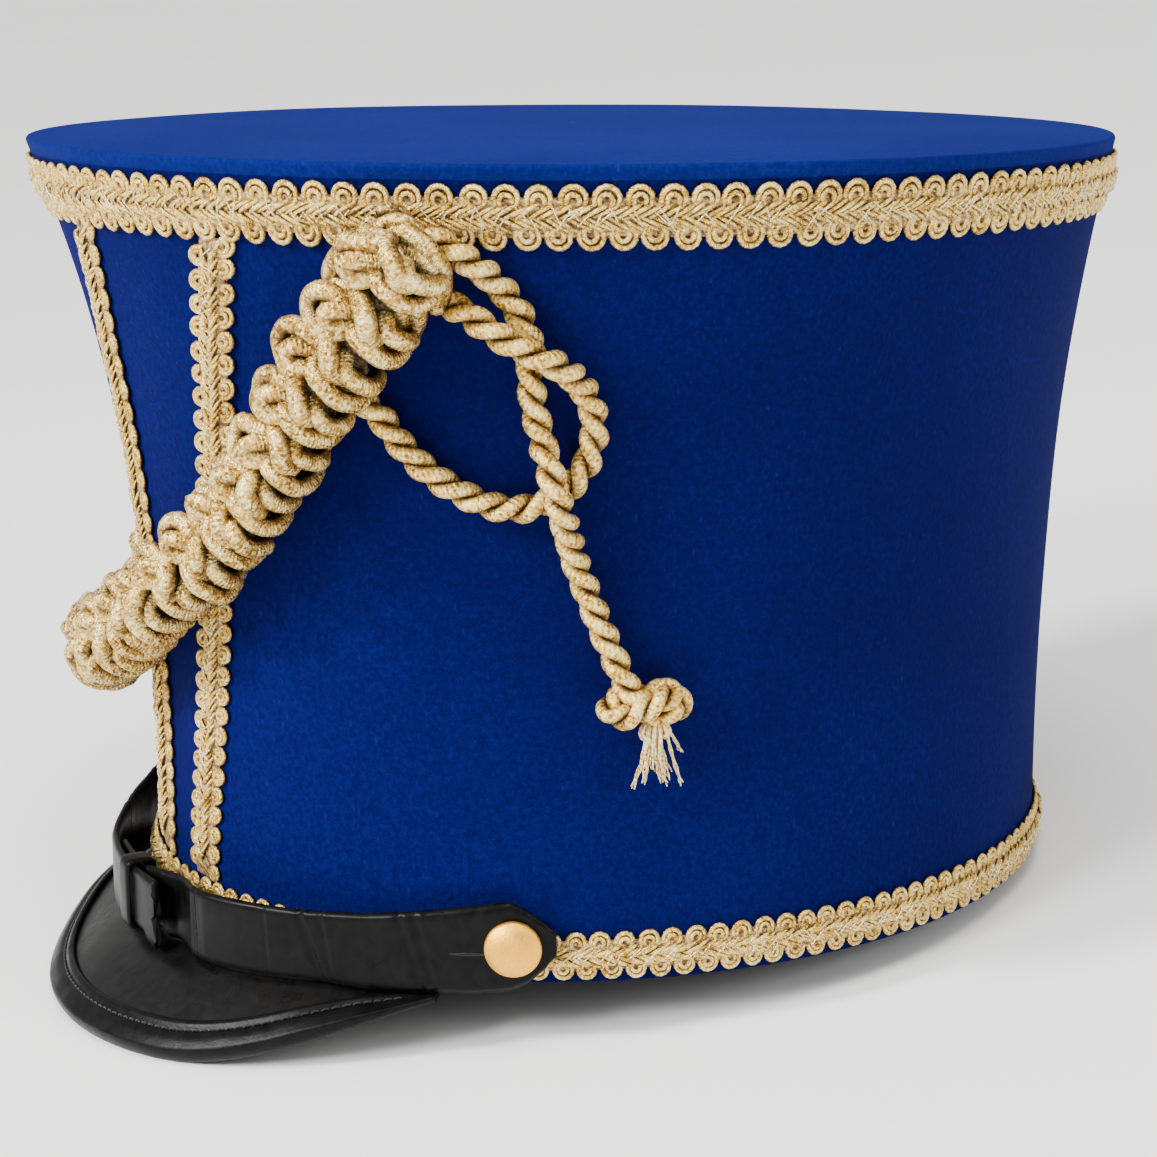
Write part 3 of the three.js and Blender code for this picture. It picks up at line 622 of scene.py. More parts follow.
def gimp_unit(soup, place, up, side, pitch, width, cord, s):
    """One scallop: a cord that comes round in a ring and curls in to its middle."""
    big = pitch * 0.485 - cord
    size = RNG.uniform(0.94, 1.04)
    start = RNG.normal(0, 12)
    a = np.radians(np.concatenate([np.arange(212, -70, -26), np.arange(-70, -420, -35)]) + start)
    turned = np.linspace(0, 1, len(a))
    shrink = 1 - CURL * np.clip((turned - 0.36) / 0.5, 0, 1) ** 0.8
    yc = width / 2 - cord - big * SCALLOP_TALL * size
    x = big * size * np.cos(a) * shrink + 0.06 * big
    y = yc + big * size * SCALLOP_TALL * np.sin(a) * shrink
    h = cord * (1.0 + 0.35 * (1 - shrink) / CURL)
    wobble = RNG.normal(0, 0.05 * big, 2)
    line = place(s + x + wobble[0], side * (y + 0.5 * wobble[1]), h)
    soup.tube(line, cord * RNG.uniform(0.96, 1.06), 6, up=up(s))
    # A dark disc in the ring's middle, in the painted-shade gold, paints the shade inside the ring.
    t = np.linspace(0, 2 * math.pi, 9)[:-1]
    disc = [place(s + r * np.cos(t), side * (yc + r * np.sin(t)), 0.18 + 0 * t)
            for r in (big * 0.02, big * 0.98)]
    soup.grid(np.stack(disc), np.zeros((2, 9, 2)) + RNG.uniform(0, 20), wrap=True, slot=1, flip=side > 0)


def gimp_rib(soup, place, up, pitch, width, s):
    """Strands that lean out of the middle on both sides, as in an ear of wheat."""
    for side in (-1, 1):
        for k in (0.0, 0.34, 0.67):
            x = (k + 0.17 * (side > 0)) * pitch + RIB_ALONG * RNG.uniform(0.9, 1.1)
            y = RIB_ACROSS * width * RNG.uniform(0.8, 1.2)
            h = RIB_OUT + RNG.normal(0, 0.12)
            line = place(s + x + RNG.normal(0, 0.18), side * y, h)
            soup.tube(line, RIB_RADIUS * RNG.uniform(0.8, 1.12), 6, up=up(s))
    for _ in range(3):
        # A fine strand that crosses over the rib, in near-white gold that paints glints on it.
        x = np.array([0, 1.1, 2.2]) * RNG.uniform(0.5, 1.3)
        y = np.array([-0.1, 0.02, 0.13]) * RNG.choice([-1, 1]) * RNG.uniform(0.5, 1.2)
        y = (y + RNG.normal(0, 0.05)) * width
        soup.tube(place(s + RNG.uniform(0, pitch) + x, y, np.array([1.85, 2.12, 1.9])), 0.14, 4, slot=2)


# The band under the rib: shares of the braid's width across, and mm out.
GIMP_BAND = [(-0.3, 0.1), (-0.27, 0.75), (-0.1, 1.05), (0.1, 1.05), (0.27, 0.75), (0.3, 0.1)]


def make_gimp(name, node, place, up, length, pitch, width, cord, closed, stretch=0.0):
    """Rows of scallops along both edges, half a step apart, and the rib between.

    A negative stretch makes the steps longer towards the far end.
    """
    count = int(round(length / pitch))
    pitch = length / count
    at = lambda n: length * (n / count + stretch * (n / count) * (1 - n / count))
    soup = Soup()
    for i in range(count):
        step = at(i + 1) - at(i)
        thick = cord * (step / pitch) ** 0.5
        for side, share in ((1, 0.5), (-1, 0.0 if closed else 0.02)):
            if closed or side > 0 or i > 0:
                gimp_unit(soup, place, up, side, step, width, thick, at(i + share))
        if closed or 0 < i < count - 1:
            gimp_rib(soup, place, up, step, width, at(i))
    inset = 0.0 if closed else 1.0
    s = np.linspace(inset, length - inset, count * 2 + 1)
    # The band under the rib is in the painted-shade gold, for the shade under the rib's strands.
    band = np.stack([place(s, width * y + 0 * s, h + 0 * s) for y, h in GIMP_BAND], 1)
    soup.grid(band, flat_pairs(s[:, None], np.arange(6.0)[None]), slot=1, flip=True)
    return soup.piece(name, [GIMP, GIMP_SHADE_PAINTED, TINSEL_GLINT_PAINTED], "gimp", node)


def ring_place(low, width):
    """Where a gimp ring's own coordinates lie: along it, across it, out of it."""
    mid = low + width / 2
    fine = np.linspace(0, 360, 2001)
    points = on_crown(fine, mid, GAP)
    s = run_along(points)
    turn = lambda x: np.interp(np.mod(x, s[-1]), s, fine)
    place = lambda x, y, h: on_crown(turn(x), mid + y, GAP * 0.6 + h)
    return place, lambda x: outward(turn(x), mid), s[-1]


# Points of the front strips' middle lines: share of the height, angle from the front.
STRIP_LEFT = [(0, 4.0), (0.1, 4.9), (0.46, 10.7), (0.65, 14.2), (0.85, 18.0), (1, 21.6)]
STRIP_RIGHT = [(0, -9.0), (0.28, -8.1), (0.56, -7.2), (0.8, -5.7), (0.9, -3.8), (1, -1.7)]


def strip_place(rows):
    """The same for a front strip, which thins out under the gimp rings."""
    low = GIMP_RIM_LIFT + GIMP_RIM_WIDTH - 0.9
    high = GIMP_TOP_LOW + 1.6
    shares, degs = zip(*rows)
    deg_at = lambda z: np.interp((z - low) / (high - low), shares, degs)
    fine = np.linspace(low, high, 400)
    points = on_crown(deg_at(fine), fine, GAP)
    s = run_along(points)
    height = lambda x: np.interp(x, s, fine)

    def place(x, y, h):
        z = np.clip(height(x) + 0 * np.asarray(y), low, high)
        sunk = np.clip(np.minimum(z - low, high - z) / 3.0, 0.25, 1)
        return on_crown(deg_at(z) + np.degrees(y / section(z)[1]), z, GAP * 0.5 + h * sunk)

    return place, lambda x: outward(deg_at(height(x)), height(x)), s[-1]


# Swag

SWAG_DEPTH = 15.0
# The plait's middle line: angle from the front, height as a share of the crown's, mm out
# as a share of SWAG_DEPTH, and how wide the plait is there.
SWAG_ROWS = [
    (44.4, 0.917, 0.76, 1), (43, 0.886, 0.69, 1.08), (41.6, 0.862, 0.65, 1.1), (40.1, 0.838, 0.6, 1.08),
    (36.4, 0.783, 0.56, 1.06), (31.7, 0.712, 0.53, 1), (28.2, 0.656, 0.53, 0.92), (25.3, 0.614, 0.55, 0.9),
    (20.2, 0.551, 0.62, 0.92), (13.8, 0.493, 0.69, 0.9), (5.9, 0.433, 0.7, 0.93), (-2, 0.385, 0.7, 0.95),
    (-10, 0.35, 0.7, 0.95), (-14, 0.335, 0.63, 0.95), (-19, 0.322, 0.55, 0.95), (-26, 0.31, 0.53, 0.95),
    (-33, 0.312, 0.53, 0.95), (-40, 0.32, 0.53, 0.95), (-46, 0.37, 0.53, 0.95), (-51, 0.465, 0.53, 0.95),
    (-55, 0.575, 0.53, 0.97), (-58.5, 0.69, 0.53, 1), (-61.5, 0.79, 0.56, 1.06), (-64, 0.86, 0.67, 1.08),
    (-65.5, 0.917, 0.76, 1),
]
# Strands of one stitch of the plait: the strand's radius, then points as shares
# of the stitch along it and mm across and out of the plait's middle.
STITCH = [
    # the ring that shows on the upper edge, and the strand curled inside it
    (1.85, [(0.8, 0.6, 3.4), (0.84, 3.2, 5), (0.76, 6.2, 5.2), (0.58, 7.9, 4.8), (0.36, 7.6, 5),
            (0.2, 5.4, 5.7), (0.2, 2.8, 6.2), (0.32, 0.8, 5.6), (0.46, -0.4, 3.4)]),
    (1.75, [(0.72, 1.2, 4.6), (0.66, 3.4, 6.9), (0.5, 4.7, 7.6), (0.38, 3.3, 7.2), (0.42, 1.4, 5.2)]),
    # the fat strand that leans over the face
    (2, [(0.96, 1.9, 3.6), (1.02, 0.2, 6.4), (0.9, -2, 7.6), (0.72, -3.6, 7), (0.58, -4.6, 4.6)]),
    # two strands that run to the lower edge and turn under it, side by side
    (1.85, [(0.52, 0.9, 4.2), (0.44, -1.6, 6.4), (0.38, -4.4, 6.2), (0.34, -7, 4.2), (0.34, -8.4, 0.8),
            (0.4, -7, -3)]),
    (1.85, [(0.9, -2.8, 4.2), (0.82, -4.8, 5.2), (0.74, -7, 3.4), (0.68, -8, 0.2), (0.64, -6.6, -3.2)]),
    # the upper edge behind the rings, and the back
    (1.6, [(0.3, 3.6, 2.4), (0.16, 6.6, 1.6), (0.08, 7.4, -1.2), (0.1, 5.6, -4), (0.26, 2.4, -5.8),
           (0.42, -0.6, -5.5)]),
    (1.6, [(0.86, 3.6, 2.2), (0.72, 6.8, 1.2), (0.62, 7.4, -1.6), (0.62, 5.2, -4.4), (0.76, 2, -5.8),
           (0.9, -1.2, -5.5)]),
    (1.6, [(0, -5.4, -3.4), (0.2, -2.6, -5.8), (0.56, 0.8, -6), (0.92, 4, -4.9), (1.1, 6, -2.5)]),
]
# Where the plait ends at the top it is bunched: angle, height and mm out.
BUNCH = [
    (1.8, [(41.9, 146.9, 6), (43.4, 148.9, 8.8), (45.1, 148, 10.4), (46.2, 145.8, 10.8),
           (46.9, 142.9, 10.2), (46.8, 139.8, 8.8), (46.2, 136.7, 6.8)]),
    (1.8, [(42.1, 145.5, 6.5), (43.8, 146.1, 9.4), (45.2, 144.9, 11), (46.2, 142.4, 11.2),
           (46.3, 139.2, 9.8), (45.8, 135.4, 7)]),
    (1.25, [(39.7, 143.5, 5.5), (40.5, 146.6, 7.5), (41.8, 149.5, 8.6), (43.2, 150.9, 8.8),
            (44.3, 150.7, 8.6), (45.1, 149, 7.6)]),
    (1.6, [(40, 147.2, 5.6), (38.9, 146.4, 8.2), (37.6, 143.9, 8.6), (36.6, 140.8, 7.6),
           (36.5, 138.1, 5.4)]),
    (1.7, [(39.5, 145.9, 8), (39.1, 144.3, 10.2), (39, 142.2, 10.6), (39.2, 140.4, 9)]),
    (1.75, [(43.1, 142.9, 8.4), (42.6, 140.6, 10.8), (41.4, 136.5, 11), (39.8, 132.2, 9.6),
            (38.1, 129.5, 6.6)]),
    (1.6, [(41.5, 143.1, 7.5), (41.1, 140.8, 10.2), (40.3, 137.9, 10.8), (39, 135.1, 9.2)]),
    (1.75, [(44.1, 139.3, 8.2), (44.5, 136.6, 9.8), (44.3, 133.8, 8.6), (43.4, 131.2, 5.8),
            (42.2, 130, 2.5)]),
    (1.7, [(42.6, 138.1, 8.2), (43, 135, 9.8), (42.6, 132.2, 8.2), (41.4, 129.4, 5.2),
           (40.1, 128.3, 2.2)]),
]
# The stitches are long at the top and tighter in the middle of the swag.
STITCH_LONG, STITCH_TIGHTER = 13.4, 3.2
# The strands reach no further than this from the middle line towards the crown.
PLAIT_BACK = 6.1
# The part that the photo hides lies flatter, as none of it shows past the crown.
FAR_HALF, FAR_SLIM = (-57, -35), 0.78
# The dark core between the strands, painted shade for the gaps between them: half its width and depth, and
# where it tapers.
CORE_ACROSS, CORE_OUT, CORE_TAPER = 5.0, 4.2, 5
# The bunch stands this much further out and its strands are this much thicker.
BUNCH_OUT, BUNCH_THICK = 0.7, 0.12


def make_swag():
    """The plait: stitches of strands round a dark core of painted shade, bunched at both ends."""
    knots = np.array([on_crown(d, h * CROWN_HEIGHT, o * SWAG_DEPTH) for d, h, o, _ in SWAG_ROWS])
    path, length = curve_through(knots, 0.5)
    s = np.linspace(0, length, len(path))
    near = [np.argmin(np.linalg.norm(path - k, axis=1)) for k in knots]
    wide = np.interp(s, s[near], [r[3] for r in SWAG_ROWS])
    flat = np.interp(s, s[near], [FAR_SLIM if FAR_HALF[0] < r[0] < FAR_HALF[1] else 1.0 for r in SWAG_ROWS])
    along = unit(np.gradient(path, axis=0))
    out = path - np.stack([0 * s, -section(path[:, 2])[2], path[:, 2]], 1)
    out = unit(out - along * np.sum(out * along, 1, keepdims=True))
    upper = np.cross(along, out)
    if upper[len(upper) // 5][2] < 0:
        upper = -upper

    def at(ks, y, h):
        """Points at ks along, y across and h out of the plait's middle line."""
        pick = lambda w: np.stack([np.interp(ks, s, w[:, k]) for k in range(3)], -1)
        thin = np.interp(ks, s, flat)
        lift = thin * (np.maximum(h, -PLAIT_BACK) + PLAIT_BACK) - PLAIT_BACK
        aside = (y + 1) * np.interp(ks, s, wide) * thin - 1
        return pick(path) + pick(upper) * aside[:, None] + pick(out) * lift[:, None]

    ends = [0.0]
    while ends[-1] < length:
        share = min(ends[-1], length - ends[-1]) / (length / 2)
        ends.append(ends[-1] + STITCH_LONG - STITCH_TIGHTER * min(1.0, share / 0.45))
    ends = np.array(ends) * (length - 3) / ends[-1]
    soup = Soup()
    for i in range(len(ends) - 1):
        lo, step = ends[i], ends[i + 1] - ends[i]
        roll = 0.16 * math.sin(i * 1.9) + RNG.normal(0, 0.05)
        for r, rows in STITCH:
            rows = np.array(rows) + RNG.normal(0, 1, 3) * [0.045, 0.5, 0.3]
            rows += RNG.normal(0, 1, (len(rows), 3)) * [0.014, 0.22, 0.14]
            y, h = rows[:, 1], rows[:, 2]
            y, h = y * math.cos(roll) - h * math.sin(roll), h * math.cos(roll) + y * math.sin(roll)
            # The plait runs down from its near end, so a stitch's own length runs up it.
            ks = np.clip(lo + (1 - rows[:, 0]) * step, 0.2, length - 0.2)
            line, _ = curve_through(at(ks, y, h), 0.7)
            # Each strand's up points away from the plait's middle line, so its painted shade falls on the
            # side turned in.
            mid = path[int(np.clip(np.mean(ks) / length * (len(path) - 1), 0, len(path) - 1))]
            soup.tube(line, r * RNG.uniform(0.97, 1.06), 10, up=unit(line - mid))
    # The core is in the strands' painted-shade copy, as shade in the gaps between the strands.
    ks = np.linspace(1.5, length - 1.5, 200)
    taper = np.sqrt(np.clip((np.minimum(ks, length - ks) - 1.4) / CORE_TAPER, 0, 1))
    core = np.stack([at(ks, CORE_ACROSS * math.sin(a) * taper, CORE_OUT * math.cos(a) * taper)
                     for a in np.linspace(0, 2 * math.pi, 17)[:-1]], 1)
    soup.grid(core, flat_pairs(np.linspace(0, 34, 17)[None], ks[:, None]), wrap=True, slot=1)
    both = SWAG_ROWS[0][0] + SWAG_ROWS[-1][0]
    for far in (False, True):
        for r, rows in BUNCH:
            rows = [(both - d if far else d, z, o) for d, z, o in rows]
            line, _ = curve_through([on_crown(d, z, o + BUNCH_OUT) for d, z, o in rows], 0.6)
            soup.tube(line, r + BUNCH_THICK, 10, up=outward(*rows[3][:2]))
    return soup.piece("swag", [STRANDS, STRANDS_SHADE_PAINTED], "cord", "cord_swag")


# Visor and its binding

# Angles from the front, in degrees, at which the visor would meet the crown, at which it
# is cut off, to which its edge lies in one plane, and from which it thins.
VISOR_ARC, VISOR_CUT, VISOR_FLAT, VISOR_THIN = 50.0, 41.5, 12.4, 26
VISOR_REACH, VISOR_SLOPE, VISOR_PLATE, VISOR_BULGE = 27.6, 0.0759, 1.6, 2.2
BINDING_WIDTH, BINDING_LEATHER = 6.4, 0.9
VISOR_ROOT = -GAP - VISOR_PLATE / 2
BINDING_IN = VISOR_PLATE / 2 + GAP
BINDING_OUT = BINDING_IN + BINDING_LEATHER


def visor_edge(deg):
    """How far the visor's edge is from the crown, and its height from its root."""
    t = abs(deg) / VISOR_ARC
    reach = VISOR_REACH * (1 - t**1.93) ** 1.34
    plane = (off_rim(deg, reach)[1] - RIM_LENGTH / 2) * VISOR_SLOPE
    fade = max(0.0, (abs(deg) - VISOR_FLAT) / (VISOR_ARC - VISOR_FLAT))
    return reach, (plane - VISOR_ROOT) * (1 - fade**2) ** 2.48


def visor_end(deg):
    """How far the visor has thinned and flattened, from 0 in front to 1 at its end."""
    t = min(1.0, max(0.0, (abs(deg) - VISOR_THIN) / (VISOR_CUT - VISOR_THIN)))
    return t * t * (3 - 2 * t)


def visor_at(deg, u, lift):
    """A point of the visor at share u of its reach, lift mm off its middle."""
    reach, drop = visor_edge(deg)
    n = unit(np.array([-drop, reach]))
    bulge = VISOR_BULGE * (reach / VISOR_REACH) * 4 * u * (1 - u) * (1 - 2.2 * visor_end(deg))
    lift = lift * (1 - 0.62 * visor_end(deg))
    x, z = np.array([reach * u, drop * u]) + n * (bulge + lift)
    p = off_rim(deg, x)
    return np.array([p[0], p[1], VISOR_ROOT + z])


def binding_span(deg):
    """The binding's width, less where the visor is narrow."""
    return BINDING_WIDTH * min(1.0, visor_edge(deg)[0] / 12) ** 0.7


def sweep(name, degs, profile, material, *nodes):
    """A solid swept round the front: profile gives a closed ring at each angle."""
    rings = np.array([profile(d) for d in degs])
    closing = (0.02, 0.6, 0.93)
    first, last = rings[0].mean(0), rings[-1].mean(0)
    rings = np.concatenate([[first + (rings[0] - first) * k for k in closing], rings,
                            [last + (rings[-1] - last) * k for k in closing[::-1]]])
    middle = rings[len(rings) // 2]
    around = run_along(np.vstack([middle, middle[:1]]))
    soup = Soup()
    soup.grid(rings, flat_pairs(run_along(rings.mean(1))[:, None], around[None]), wrap=True)
    return soup.piece(name, [material], "patent", *nodes)


def make_visor():
    """The visor's plate, from inside the crown's wall to just inside its binding."""
    def profile(deg):
        end = 1 - (BINDING_LEATHER + 2 * GAP) / visor_edge(deg)[0]
        half = VISOR_PLATE / 2
        root = off_rim(deg, -WALL + GAP)
        top = [visor_at(deg, u * end, half) for u in np.linspace(0.03, 1, 26)]
        low = [visor_at(deg, u * end, -half) for u in np.linspace(1, 0.03, 26)]
        lip = [np.array([root[0], root[1], VISOR_ROOT + k * half]) for k in (-1, 1)]
        return np.array([lip[1], *top, *low, lip[0]])

    sweep("visor_leather", np.linspace(-VISOR_CUT, VISOR_CUT, 150), profile, PEAK, "visor")


# One face of the binding, from its inner edge out: shares of its width, from the outer
# edge, and of its leather's thickness. The stitches lie in the low line.
STITCH_LINE = 0.66
BINDING_FACE = [
    (1.0, 0.0), (0.985, 0.5), (0.95, 0.86), (0.88, 1.02), (0.8, 0.98), (0.72, 0.6), (STITCH_LINE, 0.5),
    (0.6, 0.62), (0.52, 0.98), (0.4, 1.1), (0.28, 1.06), (0.18, 0.94)]
# The way from stitch to stitch in mm, a stitch's share of it, and the angle they end at.
STITCH_STEP, STITCH_SHARE, STITCHED_ARC = 2.0, 0.62, 38.0


def make_binding():
    """A folded leather edge: raised bead, sunk stitching line and soft corners."""
    def profile(deg):
        width, reach = binding_span(deg), visor_edge(deg)[0]
        at = lambda inset, lift: visor_at(deg, 1 - inset / reach, lift)
        upper = [at(width * i, BINDING_IN + BINDING_LEATHER * l) for i, l in BINDING_FACE]
        nose = [at(0.855 * (1 - math.cos(t)) + 0.02, BINDING_OUT * math.sin(t))
                for t in np.linspace(1.25, -1.25, 11)]
        lower = [at(width * i, -BINDING_IN - BINDING_LEATHER * l) for i, l in reversed(BINDING_FACE)]
        slot = BINDING_LEATHER + GAP
        return np.array([*upper, *nose, *lower, at(slot, -BINDING_IN), at(slot, BINDING_IN)])

    sweep("visor_edge", np.linspace(-VISOR_CUT, VISOR_CUT, 260), profile, BOUND, "visor_binding")


def make_stitches():
    """Thread stitches sunk in the binding's line."""
    soup = Soup()
    inset = lambda deg: 1 - STITCH_LINE * binding_span(deg) / visor_edge(deg)[0]
    deg = -STITCHED_ARC
    while deg < STITCHED_ARC:
        step = np.degrees(STITCH_STEP / (np.hypot(*on_crown(deg, 0.0)[:2]) + visor_edge(deg)[0]))
        a = visor_at(deg, inset(deg), BINDING_IN + 0.56)
        b = visor_at(deg + step * STITCH_SHARE, inset(deg + step), BINDING_IN + 0.56)
        mid = (a + b) / 2 + UP * 0.18
        soup.tube(curve_through([a, mid, b], 0.3)[0], 0.2, 5)
        deg += step
    soup.piece("stitches", [THREAD], "patent")


# Chin strap, keeper and buttons

STRAP_LEATHER, STRAP_WIDTH = 1.6, 18.4
STRAP_SEAT = GAP + GIMP_RIB + GAP + STRAP_LEATHER / 2
KEEPER_LEATHER, KEEPER_WIDTH, KEEPER_AT = 0.8, 5.5, -3.0
# The two halves of the strap: angle from the front, mm from the crown to the middle of
# the leather, and the middle's height and the strap's width as shares of STRAP_WIDTH.
# Both end alike at their buttons.
STRAP_END = [(50, STRAP_SEAT, 0.473, 1), (52, STRAP_SEAT, 0.467, 0.8), (54, STRAP_SEAT, 0.489, 0.48),
             (55, STRAP_SEAT, 0.505, 0.24)]
STRAP_LEFT = [
    (-12, 8.6, 0.26, 0.78), (-1, 8.6, 0.26, 0.79), (2, 7.4, 0.26, 0.8), (4.5, 6.4, 0.26, 0.81),
    (6.5, 6.8, 0.26, 0.82), (9, 8.3, 0.26, 0.83), (12, 8.8, 0.26, 0.83), (24, 6.5, 0.266, 0.87),
    (34, 5, 0.315, 0.9), (43, 4, 0.391, 0.97), *STRAP_END]
STRAP_RIGHT = [
    *((-deg, *row) for deg, *row in STRAP_END[::-1]), (-43, 4.2, 0.391, 0.97), (-34, 5.4, 0.315, 0.9),
    (-25, 7.2, 0.28, 0.87), (-15, 10, 0.26, 0.83), (-6, 11.2, 0.25, 0.82), (0, 11.6, 0.25, 0.82),
    (4.5, 12, 0.25, 0.82)]


def visor_face(deg, start, stop):
    """The visor's highest point between two distances from the crown."""
    if abs(deg) > VISOR_CUT + 4:
        return -math.inf
    at = min(abs(deg), VISOR_CUT)
    reach = visor_edge(at)[0]
    foot = on_crown(at, 0.0)
    top = -math.inf
    for u in np.linspace(0, 1, 41):
        p = visor_at(at, u, BINDING_OUT if reach * (1 - u) < binding_span(at) else VISOR_PLATE / 2)
        if start - 0.3 < math.hypot(p[0] - foot[0], p[1] - foot[1]) < stop + 0.3:
            top = max(top, p[2])
    return top


def strap_row(rows, deg):
    """The three values of a strap's rows at an angle."""
    degs = [r[0] for r in rows]
    return [float(np.interp(deg, degs, [r[k] for r in rows])) for k in (1, 2, 3)]


KEEPER_IN = strap_row(STRAP_LEFT, KEEPER_AT)[0] - STRAP_LEATHER / 2 - 1.5 * GAP
KEEPER_OUT = strap_row(STRAP_RIGHT, KEEPER_AT)[0] + STRAP_LEATHER / 2 + 1.5 * GAP
KEEPER_FLOOR = (visor_face(KEEPER_AT, KEEPER_IN - KEEPER_LEATHER, KEEPER_OUT + KEEPER_LEATHER)
                + 2 * GAP + KEEPER_LEATHER)


def strap_section(rows, deg):
    """The strap's inside, outside, lower edge and upper edge at an angle."""
    out, level, wide = strap_row(rows, deg)
    inside = out - STRAP_LEATHER / 2
    floor = visor_face(deg, inside, inside + STRAP_LEATHER) + GAP
    if abs(deg - KEEPER_AT) < 5:
        floor = max(floor, KEEPER_FLOOR + GAP)
    half = STRAP_WIDTH * wide / 2
    return inside, inside + STRAP_LEATHER, max(STRAP_WIDTH * level - half, floor), STRAP_WIDTH * level + half


# Creases of the near strap: angle, depth, width in degrees, and slant.
CREASES = [(10.2, 0.2, 0.3, 0.2), (21.1, 0.16, 0.28, 0.3), (26.9, 0.5, 0.5, 1.6), (28.9, 0.3, 0.35, 0.8),
           (38.9, 0.42, 0.4, 1.5), (40.4, 0.36, 0.4, 1.2)]
STRAP_ROUND = 0.6
# The right half's free end is ragged from this angle on.
RAGGED_FROM = 3.5


def crease_at(creases, deg, v):
    """How far creases lift the leather at an angle and at v, from -1 to 1 across it."""
    lift = 0.0
    for at, depth, width, slant in creases:
        off = deg - at + slant * v
        lift -= depth * math.exp(-((off / width) ** 2)) * (1 - 0.5 * v * v)
        lift += 0.35 * depth * math.exp(-(((off - 1.6 * width) / width) ** 2))
    return lift


def make_strap(name, rows, node, creases, ragged):
    """One half of the chin strap, creased, with soft edges."""
    degs = np.unique(np.concatenate([np.linspace(rows[0][0], rows[-1][0], 300), [r[0] for r in rows]]))
    kernel = np.hanning(11)[1:-1] / np.hanning(11)[1:-1].sum()
    parts = np.array([strap_section(rows, d) for d in degs]).T
    parts = [np.convolve(np.pad(v, 4, "edge"), kernel, "valid") for v in parts]

    def profile(deg):
        inside, outside, low, high = (float(np.interp(deg, degs, v)) for v in parts)
        mid, half = (low + high) / 2, (high - low) / 2
        ring = []
        for v in np.linspace(-1, 1, 15):
            edge = max(0.0, (abs(v) - 0.93) / 0.07)
            round_off = STRAP_ROUND * (1 - math.sqrt(max(0.0, 1 - edge**2)))
            ring.append((outside + crease_at(creases, deg, v) - round_off, mid + v * half, v))
        for v in np.linspace(1, -1, 9):
            corner = abs(v) > 0.99
            ring.append((inside + corner * STRAP_ROUND * 0.6, mid + v * (half - corner * 0.25), v))
        points = []
        for out, z, v in ring:
            past = max(0.0, deg - RAGGED_FROM) if ragged else 0.0
            p = on_crown(deg + past * (0.35 * math.sin(7 * v) + 0.25 * math.sin(17 * v + 1)), 0.0, out)
            points.append([p[0], p[1], z])
        return np.array(points)

    sweep(name, degs, profile, LEATHER, node)


# The slit runs between these angles from the front, at this height.
SLIT_SPAN, SLIT_LEVEL = (43.3, 47.6), 7.1


def make_slit(side):
    """Buttonhole cut in the strap beside its button, as a thin dark welt of painted shade for the cut's gap.
    """
    soup = Soup()
    for dz in (0.2, -0.2):
        degs = side * np.linspace(*SLIT_SPAN, 12)
        out = np.array([strap_row(STRAP_LEFT, abs(d))[0] for d in degs]) + STRAP_LEATHER / 2
        p = on_crown(degs, 0.0, out - 0.1)
        p[:, 2] = SLIT_LEVEL + dz * np.sin(np.linspace(0, math.pi, 12)) + 0.02 * (degs * side - 45)
        soup.tube(p, 0.17, 5)
    soup.piece("slit_left" if side > 0 else "slit_right", [SLIT_SHADE_PAINTED], "patent")


# The keeper's section: shares of half its width, and of its leather's thickness.
KEEPER_FACE = [(-1, 0.15), (-0.97, 0.5), (-0.88, 0.9), (-0.5, 1.0), (0, 1.02), (0.5, 1.0), (0.88, 0.9),
               (0.97, 0.5), (1, 0.15), (0.9, 0), (0, 0), (-0.9, 0)]


def make_keeper():
    """A leather loop round both halves of the strap, with rounded corners."""
    high = max(strap_section(rows, KEEPER_AT)[3] for rows in (STRAP_LEFT, STRAP_RIGHT)) + GAP
    side = np.cross(UP, outward(KEEPER_AT, 0.0))
    cx, cz = (KEEPER_IN + KEEPER_OUT) / 2, (KEEPER_FLOOR + high) / 2
    hx, hz = (KEEPER_OUT - KEEPER_IN) / 2, (high - KEEPER_FLOOR) / 2
    rings = []
    for t in np.linspace(0, 2 * math.pi, 72, endpoint=False):
        c, s = math.cos(t), math.sin(t)
        k = (abs(c) ** 9 + abs(s) ** 9) ** (-1 / 9)
        n = unit(np.array([c * abs(c) ** 5 / hx, s * abs(s) ** 5 / hz]))
        ring = []
        for w, lift in KEEPER_FACE:
            x, z = np.array([cx + hx * c * k, cz + hz * s * k]) + n * KEEPER_LEATHER * lift
            p = off_rim(KEEPER_AT, x) + side * (w * KEEPER_WIDTH / 2)
            ring.append([p[0], p[1], z])
        rings.append(ring)
    points = np.array(rings + rings[:1])
    soup = Soup()
    s = np.linspace(0, 4 * (hx + hz), len(points))
    soup.grid(points, flat_pairs(s[:, None], np.arange(13.0)[None]), wrap=True)
    soup.piece("keeper_leather", [LEATHER], "patent", "strap_keeper")


BUTTON_DIAMETER, BUTTON_HEIGHT, BUTTON_AT, BUTTON_LEVEL = 11.3, 3.4, 50.2, 8.7
# The button's outline from its seat to its middle: shares of its radius and its height.
BUTTON_OUTLINE = [
    (0.01, 0.02), (0.5, 0.02), (0.9, 0.02), (0.97, 0.08), (1.0, 0.2), (1.0, 0.32), (0.985, 0.42),
    (0.95, 0.5), (0.925, 0.53), (0.9, 0.56), (0.86, 0.62), (0.8, 0.7), (0.7, 0.79), (0.6, 0.86),
    (0.5, 0.91), (0.4, 0.95), (0.3, 0.975), (0.2, 0.99), (0.1, 0.998), (0.01, 1.0)]


